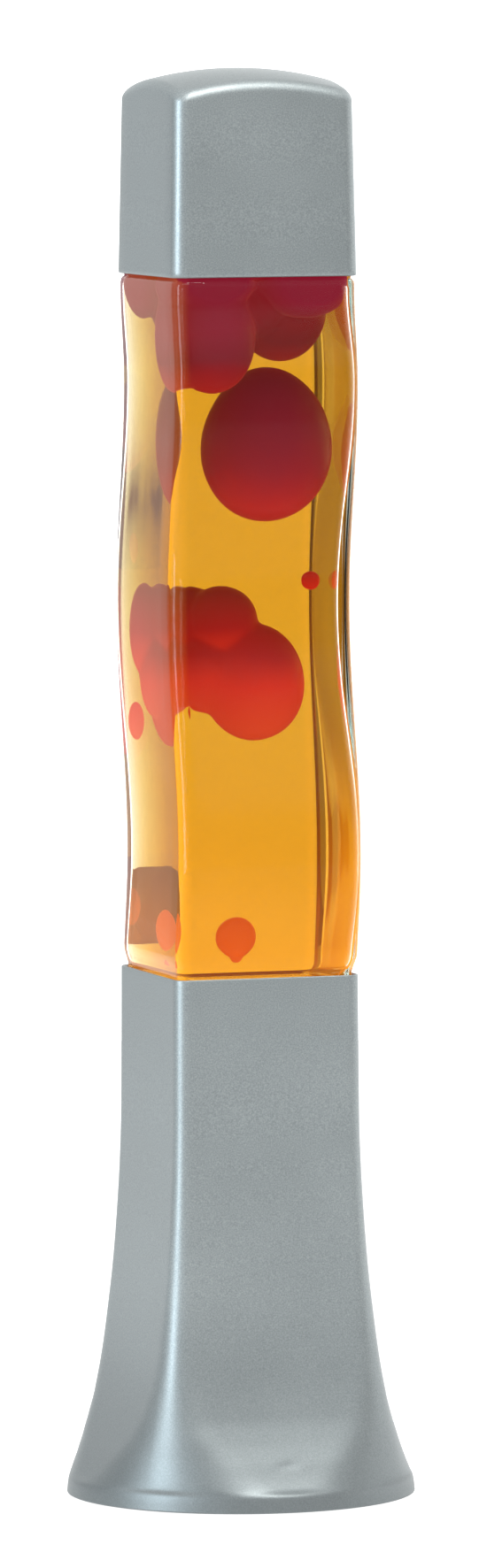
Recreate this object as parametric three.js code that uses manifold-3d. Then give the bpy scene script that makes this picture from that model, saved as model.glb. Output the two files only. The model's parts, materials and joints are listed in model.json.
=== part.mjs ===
// A lava lamp: a silver-painted flared base and cap, and between them a wavy square glass bottle of
// amber liquid and red wax, lit from below by a small reflector bulb. Millimetres, +Z up.
// The origin is on the table, under the middle of the lamp. The front face looks towards -Y.
import * as THREE from "three";
import { mergeVertices } from "three/addons/utils/BufferGeometryUtils.js";
import Module from "manifold-3d";

const wasm = await Module();
wasm.setup();

// ---------------------------------------------------------------- driving dimensions
// Gaps between pieces.
const touch = 0.3; // between two pieces that rest on each other
const slideFit = 0.4; // round a piece that slips over or into another
const overcut = 1; // how far a drill passes the faces it goes through

// Base.
const footPadHeight = 1.5; // how far the rubber feet hold the rim off the table
const baseHeight = 148.5; // rim to top edge
const baseTopMargin = 0.3; // how far the square top stands out beyond the bottle
const baseTopCorner = 4; // corner radius of the square top
const footRadius = 49.4; // the round rim
const shellWall = 0.8;

// Bottle.
const bottleHalf = 27; // half the width over the flats
const bottleCorner = 4.2;
const bottleBodyHeight = 202; // flat bottom to shoulder ledge
const heelBlend = 6; // height over which the body narrows to enter the base
const heelRound = 2.4; // bevel round the flat bottom
const cavityHeel = 5; // the same inside
const seatDepth = 6; // how far the bottle stands inside the base
const glassWall = 2.4; // mean thickness of the sides
const glassSwing = 1; // how much the sides thin where they bulge and thicken where they dip
const glassFloor = 4.4;
// The body's swing as shares of its height and how far it leans towards the front there.
const wave = [
  [0, 0],
  [0.198, 4.3],
  [0.545, -4.9],
  [0.856, 2.85],
  [0.985, 0],
];
const ledgeWidth = 1; // step under the cap
const shoulderStepHeight = 6; // square part above the ledge
const shoulderSlopeHeight = 13;
const neckRadius = 12;
const neckLength = 18;
const lipRadius = 13.2;
const lipHeight = 6;
const neckBore = 8;
const mouthFlare = 1.6; // how much the bore opens at the lip

// Cap.
const capHeight = 58;
const capMargin = 0.4; // how far its open end stands out beyond the bottle
const capDraft = 0.9; // how much narrower it is at the top
const capCorner = 4.2;
const capDomeRadius = 99;
const capEdge = 2.6; // rounding between the sides and the dome
const capWall = 0.9;

// Crown closure.
const crownFlutes = 21;
const crownSheet = 0.35;
const crownSkirt = 6;
const crownFlare = 2; // how much the skirt widens
const crownFluteDepth = 0.5; // how far a flute stands out or in at the hem
const crownEdge = 0.8; // bevel between the top and the skirt
const linerThickness = 1;
const linerGap = 0.6; // how much smaller the liner is than the lip

// Bottom plate, feet, tabs and screws.
const plateThickness = 1.2;
const plateRecess = 3.5; // above the rim
const plateFit = 0.27; // from the plate's upper edge to the shell
const padRadius = 5;
const padBevel = 0.6;
const padToScrew = 2.24; // between a rubber foot and the nearest plate screw's head
const tabThickness = 1.2;
const tabWidth = 11;
const tabHeight = 12;
const weldMarkRadius = 1.1; // the dimple that the front tab's spot weld leaves in the shell
const weldMarkDepth = 0.35;
const weldMarkHeight = 12.5; // above the rim
const tabReach = 13;
const tabHoleShare = 0.62; // how far along the tab its hole is
const screwRadius = 1.5;
const screwHeadRadius = 3;
const screwHeadHeight = 1.8;
const screwLength = 5.5;
const ventCount = 8;
const ventRadius = 2.2;
const ventCircle = 14.9;

// Seat under the bottle.
const seatSheet = 1;
const seatSkirt = 9;
const seatAperture = 21.5; // radius of the light opening, wide enough for the bulb

// Reflector bulb with a 14 mm screw cap.
const bulbLength = 68;
const bulbRadius = 19.5;
const bulbGlass = 0.8;
const bulbHeadroom = 9.6; // from the bulb to the bottle
const screwCapRadius = 6.9;
const screwCapLength = 17;
const threadPitch = 2.82;
const threadDepth = 0.6;
const screwCapSheet = 0.4;
const screwCapLift = 3.2; // from the tip to the cap's lower edge
const tipShoulder = 1.8; // from the tip to the insulator
const tipRadius = 2.4;
const insulatorHeight = 2.4; // above the cap's lower edge
const neckInCap = 9; // how far the bulb's neck stands in its cap
const neckFlare = 1.6; // how much the neck widens as it leaves the cap
const crownBelow = 12; // from the widest place of the bulb to its top

// Lamp holder and what carries it.
const holderRadius = 14;
const holderCupHeight = 20;
const holderWall = 2.5;
const holderEdge = 1; // bevels on the holder
const sleeveBead = 1.2; // how far the sleeve's two end rings stand out
const contactTravel = 1; // room for the centre contact to be pressed down
const contactArm = 2.4; // from the top of its tip to the underside of its arm
const contactX = -4.6; // where the centre contact's leg goes down through the insert
const contactSheet = 0.6;
const contactWidth = 4;
const terminalRadius = 1.9;
const nippleShow = 2; // how much of the nipple stands below its lower nut
const nippleOver = 0.6; // and above its upper one
const wiringSpace = 2.6; // between the nipple and the insert
const nippleRadius = 4.85;
const nippleBore = 3.2;
const nutFlats = 14;
const nutHeight = 3;
const bridgeSheet = 1.2;
const bridgeWidth = 18;
const bridgeSpan = 34;
const bridgeFlange = 9;
const grommetBore = 2.6;
const grommetRadius = 3.7;
const grommetFlange = 5.5;
const grommetHead = 1.6; // thickness outside the wall
const grommetTail = 2.4; // how far it reaches inside the wall
const grommetBarb = 0.9; // how far the inner lip stands out
const grommetHeight = 12.5; // above the rim

// Wax, in half widths and heights of each lump.
const globe = { x: 5.1, y: -3.4, half: 18.9, tall: 21 };
const bead = { x: 20.6, y: 5, half: 2.8, tall: 2.8 };
const risingDrop = { x: -1.6, y: 9, half: 5.9, tall: 5.8 };
const satellite = { x: -18, y: 18.6, half: 5.3, tall: 5.3 };
const topLobes = [
  { x: -13.1, y: -12.3, half: 12.6, tall: 16, drop: 13.2 },
  { x: 10.4, y: 3.5, half: 14, tall: 15, drop: 7.2 },
  { x: 0, y: 0, half: 15, tall: 11, drop: 5 },
];
const middleLobes = [
  { x: 4, y: 8.1, half: 15, tall: 17.4, rise: 0 },
  { x: -5.2, y: 8, half: 10.5, tall: 10.6, rise: 18.5 },
  { x: -12.8, y: 15.4, half: 10.4, tall: 13.4, rise: 15.5 },
  { x: -10, y: 9, half: 10, tall: 12, rise: 3 },
];
const waxCeiling = 8; // thickness of the wax that covers the whole width under the ledge
const middleShare = 0.415; // how high up the column the middle wax hangs
const satelliteShare = 0.362;
const beadShare = 0.567;
const dropShare = 0.064;
const threadOfWax = 0.8; // radius of the thin thread that joins a lump to the glass or to its neighbour

// How finely curves are cut.
const cornerSteps = 3;
const capSteps = 4;
const footSteps = 6;
const around = 20;
const smallAround = 12;
const lumpAround = 14;
const lumpLevels = 9;
const wallLevels = 18; // down the sides of the bottle

// ---------------------------------------------------------------- levels that follow from them
const baseTopHalf = bottleHalf + baseTopMargin;
const capHalf = bottleHalf + capMargin;
const rimZ = footPadHeight;
const baseTopZ = rimZ + baseHeight;
const bottleZ = baseTopZ - seatDepth;
const ledgeZ = bottleZ + bottleBodyHeight;
const floorZ = bottleZ + glassFloor;
const stepTopZ = ledgeZ + touch + shoulderStepHeight;
const neckZ = stepTopZ + shoulderSlopeHeight;
const bottleTopZ = neckZ + neckLength;
const capZ = ledgeZ + 2 * touch;
const capTopZ = capZ + capHeight;
const seatTopZ = bottleZ - touch;
const plateZ = rimZ + plateRecess;
const plateTopZ = plateZ + plateThickness;
const bulbTopZ = bottleZ - bulbHeadroom;
const tipZ = bulbTopZ - bulbLength;
const screwCapZ = tipZ + screwCapLift;
const screwCapTopZ = screwCapZ + screwCapLength;
const cupTopZ = tipZ - touch;
const cupZ = cupTopZ - holderCupHeight;
const bridgeTopZ = cupZ - touch;
const columnHeight = ledgeZ - floorZ;

// ---------------------------------------------------------------- mesh and solid helpers

// A ring of points round a square with rounded corners, anticlockwise from above. The square's front
// and back may differ in half width, and the whole ring may be shifted along Y.
function squareRing(z, frontHalf, corner, steps = cornerSteps, backHalf = frontHalf, shift = 0) {
  const ring = [];
  const least = 0.4; // a flat is never shorter than this, so that the ring keeps its points apart
  for (let c = 0; c < 4; c++) {
    const signX = c === 0 || c === 3 ? 1 : -1;
    const signY = c < 2 ? 1 : -1;
    const half = signY > 0 ? backHalf : frontHalf;
    const r = Math.min(corner, half - least);
    for (let s = 0; s <= steps; s++) {
      const angle = (c + s / steps) * (Math.PI / 2);
      const x = signX * (half - r) + r * Math.cos(angle);
      const y = signY * (half - r) + r * Math.sin(angle) + shift;
      ring.push(new THREE.Vector3(x, y, z));
    }
  }
  return ring;
}

// A round ring with as many points as squareRing gives.
function roundRing(z, radius, steps = cornerSteps) {
  return squareRing(z, radius, radius, steps);
}

// Triangles between consecutive rings. A closed loop joins the last ring to the first, and an open
// one is closed by a fan at each end.
function skin(rings, closedLoop) {
  const points = rings.flat();
  const n = rings[0].length;
  const index = [];
  const count = closedLoop ? rings.length : rings.length - 1;
  for (let i = 0; i < count; i++) {
    const low = i * n;
    const high = ((i + 1) % rings.length) * n;
    for (let j = 0; j < n; j++) {
      const k = (j + 1) % n;
      index.push(low + j, low + k, high + k);
      index.push(low + j, high + k, high + j);
    }
  }
  if (!closedLoop) {
    const first = points.length;
    points.push(middleOf(rings[0]), middleOf(rings[rings.length - 1]));
    const top = (rings.length - 1) * n;
    for (let j = 0; j < n; j++) {
      const k = (j + 1) % n;
      index.push(first, k, j);
      index.push(first + 1, top + j, top + k);
    }
  }
  return new THREE.BufferGeometry().setFromPoints(points).setIndex(index);
}

function middleOf(ring) {
  const sum = new THREE.Vector3();
  ring.forEach((p) => sum.add(p));
  return sum.divideScalar(ring.length);
}

// A manifold-3d solid from a closed geometry.
function solid(geometry) {
  const bare = geometry.clone();
  bare.deleteAttribute("normal");
  bare.deleteAttribute("uv");
  const merged = mergeVertices(bare, 1e-4);
  const vertProperties = merged.getAttribute("position").array;
  const triVerts = new Uint32Array(merged.index.array);
  return new wasm.Manifold(new wasm.Mesh({ numProp: 3, vertProperties, triVerts }));
}

function geometryOf(body) {
  const mesh = body.getMesh();
  const position = new THREE.BufferAttribute(new Float32Array(mesh.vertProperties), 3);
  const geometry = new THREE.BufferGeometry().setAttribute("position", position);
  return geometry.setIndex(new THREE.BufferAttribute(new Uint32Array(mesh.triVerts), 1));
}

// A solid turned about Z from [radius, z] pairs, listed so that material is on their left.
function turned(profile, segments = around) {
  const points = profile.map(([r, z]) => new THREE.Vector2(r, z));
  const geometry = new THREE.LatheGeometry([...points, points[0]], segments);
  return geometry.rotateX(Math.PI / 2);
}

// A plain round bar along Z.
function bar(radius, low, high, segments = smallAround) {
  const geometry = new THREE.CylinderGeometry(radius, radius, high - low, segments);
  return geometry.rotateX(Math.PI / 2).translate(0, 0, (low + high) / 2);
}

// A round tube along Z.
function pipe(bore, radius, low, high, segments = smallAround) {
  return turned([[bore, low], [radius, low], [radius, high], [bore, high]], segments);
}

// An outline in the X-Z plane, made width wide along Y.
function plank(outline, width) {
  const shape = new THREE.Shape(outline.map(([x, z]) => new THREE.Vector2(x, z)));
  const geometry = new THREE.ExtrudeGeometry(shape, { depth: width, bevelEnabled: false });
  return geometry.rotateX(Math.PI / 2).translate(0, width / 2, 0);
}

function box(sizeX, sizeY, low, high) {
  return new THREE.BoxGeometry(sizeX, sizeY, high - low).translate(0, 0, (low + high) / 2);
}

// ---------------------------------------------------------------- materials and assembly
const finishes = {
  silver: { color: 0x9aa6a6, roughness: 0.42, metalness: 0.75 },
  glass: { color: 0xdde6e0, roughness: 0.03, metalness: 0, transparent: true, opacity: 0.3 },
  amber: { color: 0xf0a41c, roughness: 0.05, metalness: 0, transparent: true, opacity: 0.6 },
  wax: { color: 0xa5182a, roughness: 0.35, metalness: 0 },
  tinned: { color: 0xc9c6bd, roughness: 0.3, metalness: 0.95 },
  steel: { color: 0xa9acad, roughness: 0.35, metalness: 0.95 },
  brass: { color: 0xc39a4a, roughness: 0.3, metalness: 0.95 },
  rubber: { color: 0x1c1c1d, roughness: 0.85, metalness: 0 },
  plastic: { color: 0x202022, roughness: 0.5, metalness: 0 },
  liner: { color: 0xdedbd0, roughness: 0.7, metalness: 0 },
  mirrored: { color: 0xd8dadb, roughness: 0.12, metalness: 0.6 },
  tungsten: { color: 0x6d6a66, roughness: 0.4, metalness: 0.9 },
};
const lamp = new THREE.Group();

function add(name, finish, geometry, parent = lamp) {
  const mesh = new THREE.Mesh(geometry, new THREE.MeshStandardMaterial(finishes[finish]));
  mesh.name = name;
  parent.add(mesh);
  return mesh;
}

// ---------------------------------------------------------------- base shell
// Square with small corners at the top, round at the rim. Each row is the share of the base's height
// above the rim, how far the flat has moved from the square top to the round rim, and how round the
// section is, where 0 has the top's corners and 1 is a circle.
const flare = [
  [0, 1, 1],
  [0.03, 0.971, 1],
  [0.042, 0.873, 0.866],
  [0.091, 0.665, 0.653],
  [0.131, 0.52, 0.466],
  [0.172, 0.403, 0.32],
  [0.25, 0.267, 0.161],
  [0.347, 0.176, 0.096],
  [0.434, 0.113, 0.058],
  [0.535, 0.063, 0.032],
  [0.636, 0.027, 0.013],
  [0.737, 0.009, 0.004],
  [1, 0, 0],
];

// The shell's outside half width and corner radius at a height, by straight lines between the rows.
function flareAt(z) {
  const share = THREE.MathUtils.clamp((z - rimZ) / baseHeight, 0, 1);
  let i = 1;
  while (i < flare.length - 1 && flare[i][0] < share) i++;
  const [lowShare, lowSpread, lowRound] = flare[i - 1];
  const [highShare, highSpread, highRound] = flare[i];
  const t = (share - lowShare) / (highShare - lowShare);
  const spread = THREE.MathUtils.lerp(lowSpread, highSpread, t);
  const roundness = THREE.MathUtils.lerp(lowRound, highRound, t);
  const half = THREE.MathUtils.lerp(baseTopHalf, footRadius, spread);
  const corner = THREE.MathUtils.lerp(baseTopCorner, half, roundness);
  return { half, corner };
}

function insideHalf(z) {
  return flareAt(z).half - shellWall;
}

function baseShell() {
  const levels = flare.map(([share]) => rimZ + share * baseHeight);
  const outside = levels.map((z) => {
    const { half, corner } = flareAt(z);
    return squareRing(z, half, corner, footSteps);
  });
  const inside = levels.map((z) => {
    const { half, corner } = flareAt(z);
    return squareRing(z, half - shellWall, corner - shellWall, footSteps);
  });
  const shell = solid(skin([...outside, ...inside.reverse()], true));
  const hole = bar(grommetRadius + touch, -6 * shellWall, 6 * shellWall);
  const drilled = shell.subtract(solid(placeOnBackWall(hole)));
  const ballRadius = (weldMarkRadius ** 2 + weldMarkDepth ** 2) / (2 * weldMarkDepth);
  const markZ = rimZ + weldMarkHeight;
  const ball = new THREE.SphereGeometry(ballRadius, 12, 8).rotateX(Math.PI / 2);
  const markY = -(flareAt(markZ).half + ballRadius - weldMarkDepth);
  return geometryOf(drilled.subtract(solid(ball.translate(0, markY, markZ))));
}

// Turns a piece made along Z, with its middle at the origin, square to the back wall's slope at the
// height of the cable inlet, with its +Z end outside.
function placeOnBackWall(geometry) {
  const z = rimZ + grommetHeight;
  const reach = grommetRadius;
  const lean = Math.atan2(flareAt(z - reach).half - flareAt(z + reach).half, 2 * reach);
  const y = flareAt(z).half - shellWall / 2;
  return geometry.rotateX(-Math.PI / 2 + lean).translate(0, y, z);
}

function cableGrommet() {
  const inner = -shellWall / 2 - touch;
  const outer = shellWall / 2 + touch;
  const body = turned([
    [grommetBore, inner - grommetTail],
    [grommetRadius, inner - grommetTail],
    [grommetRadius + grommetBarb, inner - grommetTail / 4],
    [grommetRadius + grommetBarb, inner],
    [grommetRadius, inner],
    [grommetRadius, outer],
    [grommetFlange, outer],
    [grommetFlange - grommetHead / 4, outer + grommetHead],
    [grommetBore, outer + grommetHead],
  ], smallAround);
  return placeOnBackWall(body);
}

// ---------------------------------------------------------------- bottom plate, feet, tabs, screws
const plateRadius = insideHalf(plateTopZ) - plateFit;
const tabPlaces = [
  { name: "front", turn: -Math.PI / 2 },
  { name: "right", turn: Math.PI / 4 },
  { name: "left", turn: (3 * Math.PI) / 4 },
];
const tabZ = plateTopZ + touch;
const screwCircle = insideHalf(tabZ) - tabHoleShare * tabReach;
const padCircle = screwCircle - screwHeadRadius - padToScrew - padRadius;
const bridgeScrewX = bridgeSpan / 2 + bridgeFlange / 2;

function bottomPlate() {
  let plate = solid(bar(plateRadius, plateZ, plateTopZ, 2 * around));
  const drill = (radius, x, y) => {
    const hole = bar(radius, plateZ - overcut, plateTopZ + overcut).translate(x, y, 0);
    plate = plate.subtract(solid(hole));
  };
  for (let i = 0; i < ventCount; i++) {
    const angle = ((i + 0.5) * 2 * Math.PI) / ventCount;
    drill(ventRadius, ventCircle * Math.cos(angle), ventCircle * Math.sin(angle));
  }
  for (const { turn } of tabPlaces) {
    drill(screwRadius + touch, screwCircle * Math.cos(turn), screwCircle * Math.sin(turn));
  }
  for (const side of [-1, 1]) drill(screwRadius + touch, side * bridgeScrewX, 0);
  return geometryOf(plate);
}

function rubberFoot(i) {
  const foot = turned([
    [0, 0],
    [padRadius - padBevel, 0],
    [padRadius, padBevel],
    [padRadius, plateZ - touch],
    [0, plateZ - touch],
  ], smallAround);
  const angle = (i + 0.5) * (Math.PI / 2);
  return foot.translate(padCircle * Math.cos(angle), padCircle * Math.sin(angle), 0);
}

// How far the shell's inside is from the lamp's axis at a height, in a direction seen from above.
function wallReach(z, turn) {
  const { half, corner } = flareAt(z);
  const r = corner - shellWall;
  const centre = half - corner;
  const x = Math.abs(Math.cos(turn));
  const y = Math.abs(Math.sin(turn));
  const flat = (centre + r) / Math.max(x, y);
  if (Math.min(x, y) * flat <= centre) return flat;
  const along = centre * (x + y);
  return along + Math.sqrt(along ** 2 - 2 * centre ** 2 + r ** 2);
}

// A bent strip welded inside the shell, with its flat leg over the bottom plate.
function fixingTab(turn) {
  const bend = 1.6 * tabThickness;
  const bow = (z) => tabWidth ** 2 / (8 * (flareAt(z).corner - shellWall));
  const face = (z) => wallReach(z, turn) - bow(z) - 2 * touch;
  const rises = [0, 0.25, 0.5, 0.75, 1].map((share) => tabZ + share * tabHeight);
  const outer = rises.map((z) => [face(z), z]);
  const inner = rises.slice(1).reverse().map((z) => [face(z) - bend, z]);
  const leg = insideHalf(tabZ) - tabReach;
  const under = tabZ + tabThickness;
  const outline = [...outer, ...inner, [face(under) - bend, under], [leg, under], [leg, tabZ]];
  const strip = solid(plank(outline, tabWidth));
  const hole = bar(screwRadius + touch, tabZ - overcut, under + overcut);
  const drilled = strip.subtract(solid(hole.translate(screwCircle, 0, 0)));
  return geometryOf(drilled).rotateZ(turn);
}

// A pan-head screw driven upwards from under the plate.
function plateScrew(x, y) {
  const seat = plateZ - touch;
  const headZ = seat - screwHeadHeight;
  const endZ = seat + screwLength;
  return turned([
    [0, headZ],
    [0.7 * screwHeadRadius, headZ],
    [screwHeadRadius, headZ + 0.6 * screwHeadHeight],
    [screwHeadRadius, seat],
    [screwRadius, seat],
    [screwRadius, endZ - screwRadius / 2],
    [screwRadius / 2, endZ],
    [0, endZ],
  ], smallAround).translate(x, y, 0);
}

// ---------------------------------------------------------------- seat under the bottle
function bottleSeat() {
  const half = insideHalf(seatTopZ) - touch;
  const corner = Math.max(baseTopCorner - shellWall - touch, seatSheet);
  const low = seatTopZ - seatSkirt;
  const under = seatTopZ - seatSheet;
  return skin([
    squareRing(low, half, corner),
    squareRing(seatTopZ, half, corner),
    roundRing(seatTopZ, seatAperture),
    roundRing(under, seatAperture),
    squareRing(under, half - seatSheet, corner - seatSheet / 2),
    squareRing(low, half - seatSheet, corner - seatSheet / 2),
  ], true);
}

// ---------------------------------------------------------------- lamp holder and its bridge
function holderBridge() {
  const outer = bridgeSpan / 2;
  const end = outer + bridgeFlange;
  const low = plateTopZ + touch;
  const t = bridgeSheet;
  const outline = [
    [-end, low], [-outer + t, low], [-outer + t, bridgeTopZ - t], [outer - t, bridgeTopZ - t],
    [outer - t, low], [end, low], [end, low + t], [outer, low + t], [outer, bridgeTopZ],
    [-outer, bridgeTopZ], [-outer, low + t], [-end, low + t],
  ];
  let bridge = solid(plank(outline, bridgeWidth));
  const centreHole = bar(nippleRadius + touch, bridgeTopZ - 2 * t, bridgeTopZ + t);
  bridge = bridge.subtract(solid(centreHole));
  for (const side of [-1, 1]) {
    const hole = bar(screwRadius + touch, low - overcut, low + t + overcut);
    bridge = bridge.subtract(solid(hole.translate(side * bridgeScrewX, 0, 0)));
  }
  return geometryOf(bridge);
}

function hexNut(low) {
  const nut = solid(bar(nutFlats / Math.sqrt(3), low, low + nutHeight, 6));
  const hole = bar(nippleRadius + touch, low - overcut, low + nutHeight + overcut);
  return geometryOf(nut.subtract(solid(hole)));
}

const nippleZ = bridgeTopZ - bridgeSheet - touch - nutHeight - nippleShow;
const cupFloorZ = cupZ + holderWall;
const nippleTopZ = cupFloorZ + touch + nutHeight + nippleOver;
const insertZ = nippleTopZ + wiringSpace;
const insertTopZ = tipZ - touch - contactTravel - contactArm;

function holderCup() {
  const inner = holderRadius - holderWall;
  return turned([
    [nippleRadius + touch, cupZ],
    [holderRadius - holderEdge, cupZ],
    [holderRadius, cupZ + holderEdge],
    [holderRadius, cupTopZ],
    [inner, cupTopZ],
    [inner, cupFloorZ],
    [nippleRadius + touch, cupFloorZ],
  ]);
}

function holderSleeve() {
  const bore = screwCapRadius + slideFit;
  const waist = holderRadius - sleeveBead;
  const low = cupTopZ + touch;
  const top = screwCapTopZ + 1.5 * holderEdge;
  return turned([
    [bore, low + 2 * holderEdge],
    [bore + 2 * holderEdge, low],
    [holderRadius, low],
    [holderRadius, low + 2 * sleeveBead],
    [waist, low + 3 * sleeveBead],
    [waist, top - 2 * sleeveBead],
    [holderRadius, top - sleeveBead],
    [holderRadius, top],
    [bore + holderEdge, top],
    [bore, top - holderEdge],
  ]);
}

function holderInsert() {
  const radius = holderRadius - holderWall - touch;
  let core = solid(bar(radius, insertZ, insertTopZ, around));
  const thick = contactSheet + 2 * slideFit;
  const wide = contactWidth + 2 * slideFit;
  const slot = box(thick, wide, insertZ - overcut, insertTopZ + overcut);
  core = core.subtract(solid(slot.translate(contactX, 0, 0)));
  return geometryOf(core);
}

// The tongue that carries the live contact: a leg, an arm and a raised tip under the bulb.
function centreContact() {
  const top = tipZ - touch;
  const left = contactX - contactSheet / 2;
  const right = left + contactSheet;
  const leg = insertZ + 1;
  const arm = top - contactArm + contactSheet;
  return plank([
    [left, leg], [right, leg], [right, arm - contactSheet], [-1, top - contactSheet],
    [1, top - contactSheet], [3, arm - contactSheet / 2], [3.4, arm + contactSheet], [1.2, top],
    [-1.2, top], [right, arm], [left, arm],
  ], contactWidth);
}

// The strip that touches the lower edge of the bulb's screw cap.
function sideContact() {
  const low = insertTopZ + touch;
  const top = screwCapZ - touch;
  const x = screwCapRadius - threadDepth - screwCapSheet - touch;
  const back = x + contactSheet;
  return plank([
    [x, low], [x + 3, low], [x + 3, low + contactSheet], [back, low + contactSheet],
    [back, top - contactSheet], [back + contactSheet, top], [back, top], [x, top - contactSheet],
  ], 0.75 * contactWidth);
}

function terminalScrew(side) {
  const y = holderRadius - holderWall - 2 * touch - terminalRadius;
  const screw = bar(terminalRadius, nippleTopZ + touch, insertZ - touch);
  return screw.translate(0, side * y, 0);
}

// ---------------------------------------------------------------- reflector bulb
function bulbShellProfile() {
  const neck = screwCapRadius - threadDepth - screwCapSheet - slideFit;
  const lowZ = screwCapTopZ + 1 - neckInCap;
  const bowlZ = screwCapTopZ + neckFlare;
  const widestZ = bulbTopZ - crownBelow;
  const rows = [[neck, lowZ], [neck, bowlZ - neckFlare]];
  const steps = 4;
  for (let i = 0; i <= steps; i++) {
    const t = i / steps;
    const bulge = Math.pow(Math.sin((t * Math.PI) / 2), 0.85);
    const radius = THREE.MathUtils.lerp(neck + neckFlare, bulbRadius, bulge);
    rows.push([radius, THREE.MathUtils.lerp(bowlZ, widestZ, t)]);
  }
  // The shoulder and the slightly domed face.
  rows.push([0.97 * bulbRadius, bulbTopZ - 0.71 * crownBelow]);
  rows.push([0.87 * bulbRadius, bulbTopZ - 0.45 * crownBelow]);
  rows.push([0.62 * bulbRadius, bulbTopZ - 0.17 * crownBelow]);
  rows.push([0.32 * bulbRadius, bulbTopZ - 0.04 * crownBelow]);
  return rows;
}

function bulbEnvelope() {
  const outside = bulbShellProfile();
  const faceRows = 4;
  const inside = outside.map(([r, z], i) => {
    const face = i >= outside.length - faceRows;
    return [r - bulbGlass * (face ? 0.6 : 1), z - (face ? bulbGlass : 0)];
  });
  const top = [[0, bulbTopZ], [0, bulbTopZ - bulbGlass]];
  return turned([...outside, ...top, ...inside.reverse()], 16);
}

// The threaded cap, with the thread as rounded rings one pitch apart.
function bulbScrewCap() {
  const root = screwCapRadius - threadDepth;
  const plain = 1.6; // below the first ring
  const turns = Math.floor((screwCapLength - 3 * plain) / threadPitch);
  const outside = [[root, screwCapZ]];
  for (let i = 0; i <= 2 * turns; i++) {
    outside.push([i % 2 === 0 ? root : screwCapRadius, screwCapZ + plain + (i * threadPitch) / 2]);
  }
  outside.push([root, screwCapTopZ - threadDepth], [screwCapRadius, screwCapTopZ]);
  const inside = outside.map(([r, z]) => [r - screwCapSheet, z]);
  return turned([...outside, ...inside.reverse()], smallAround);
}

function bulbInsulator() {
  const radius = screwCapRadius - threadDepth - screwCapSheet - touch;
  const low = tipZ + tipShoulder;
  const top = screwCapZ + insulatorHeight;
  return turned([
    [0, low],
    [tipRadius + 0.5, low],
    [radius - 0.8, screwCapZ - touch],
    [radius, screwCapZ + slideFit],
    [radius, top],
    [0, top],
  ], smallAround);
}

function bulbTip() {
  const top = tipZ + tipShoulder - touch;
  return turned([
    [0, tipZ],
    [tipRadius - 1, tipZ + 0.2],
    [tipRadius, top - 0.5],
    [tipRadius, top],
    [0, top],
  ], smallAround);
}

const stemRadius = 2.9;
const stemTopZ = screwCapTopZ + 7;
const leadSpread = 4.5;
const leadTopZ = stemTopZ + 11;
const leadRadius = 0.35;
const coilRadius = 0.5;
const coilSag = 1.2; // how far the filament arches between its leads

function bulbStem() {
  const low = screwCapZ + insulatorHeight + touch;
  return turned([
    [0, low],
    [stemRadius + 0.7, low],
    [stemRadius - 0.3, low + 3],
    [stemRadius - 0.7, stemTopZ - 2],
    [stemRadius, stemTopZ - 0.8],
    [stemRadius, stemTopZ],
    [0, stemTopZ],
  ], smallAround);
}

function wire(points, radius, sides, steps) {
  const section = new THREE.Shape();
  section.absarc(0, 0, radius, 0, 2 * Math.PI);
  const extrudePath = new THREE.CatmullRomCurve3(points);
  return new THREE.ExtrudeGeometry(section, { steps, curveSegments: sides, extrudePath });
}

function filamentLead(side) {
  const points = [
    new THREE.Vector3(side * 0.3 * leadSpread, 0, stemTopZ + touch),
    new THREE.Vector3(side * 0.5 * leadSpread, 0, stemTopZ + 4),
    new THREE.Vector3(side * leadSpread, 0, leadTopZ),
  ];
  return wire(points, leadRadius, 3, 5);
}

function filament() {
  const lowZ = leadTopZ + 2 * touch + leadRadius;
  const points = Array.from({ length: 9 }, (_, i) => {
    const t = i / 8;
    return new THREE.Vector3(leadSpread * (2 * t - 1), 0, lowZ + coilSag * Math.sin(Math.PI * t));
  });
  return wire(points, coilRadius, 3, 12);
}

// ---------------------------------------------------------------- bottle
// How far the body leans towards the front at a height, easing from one turn of the wave to the next.
function lean(z) {
  const share = THREE.MathUtils.clamp((z - bottleZ) / bottleBodyHeight, 0, 1);
  let i = 1;
  while (i < wave.length - 1 && wave[i][0] < share) i++;
  const t = THREE.MathUtils.clamp((share - wave[i - 1][0]) / (wave[i][0] - wave[i - 1][0]), 0, 1);
  const ease = (1 - Math.cos(Math.PI * t)) / 2;
  return THREE.MathUtils.lerp(wave[i - 1][1], wave[i][1], ease);
}

const deepest = Math.max(...wave.map(([, depth]) => Math.abs(depth)));
const fitHalf = baseTopHalf - shellWall - slideFit - Math.abs(lean(baseTopZ)); // in the base

function bodyHalf(z) {
  const rise = THREE.MathUtils.smoothstep(z, baseTopZ, baseTopZ + heelBlend);
  return THREE.MathUtils.lerp(fitHalf, bottleHalf, rise);
}

function bodyRing(z, inset = 0) {
  return squareRing(z, bodyHalf(z) - inset, bottleCorner, cornerSteps, undefined, -lean(z));
}

// A ring on the inside of the glass, shrunk by an extra inset. Where the front bulges, its glass is
// thinner and the back's is thicker.
function cavityRing(z, inset = 0) {
  const thinning = (glassSwing * lean(z)) / deepest;
  const front = bodyHalf(z) - glassWall + thinning - inset;
  const back = bodyHalf(z) - glassWall - thinning - inset;
  const corner = Math.max(bottleCorner - glassWall * 0.4 - inset, 0.8);
  return squareRing(z, front, corner, cornerSteps, back, -lean(z));
}

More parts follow.
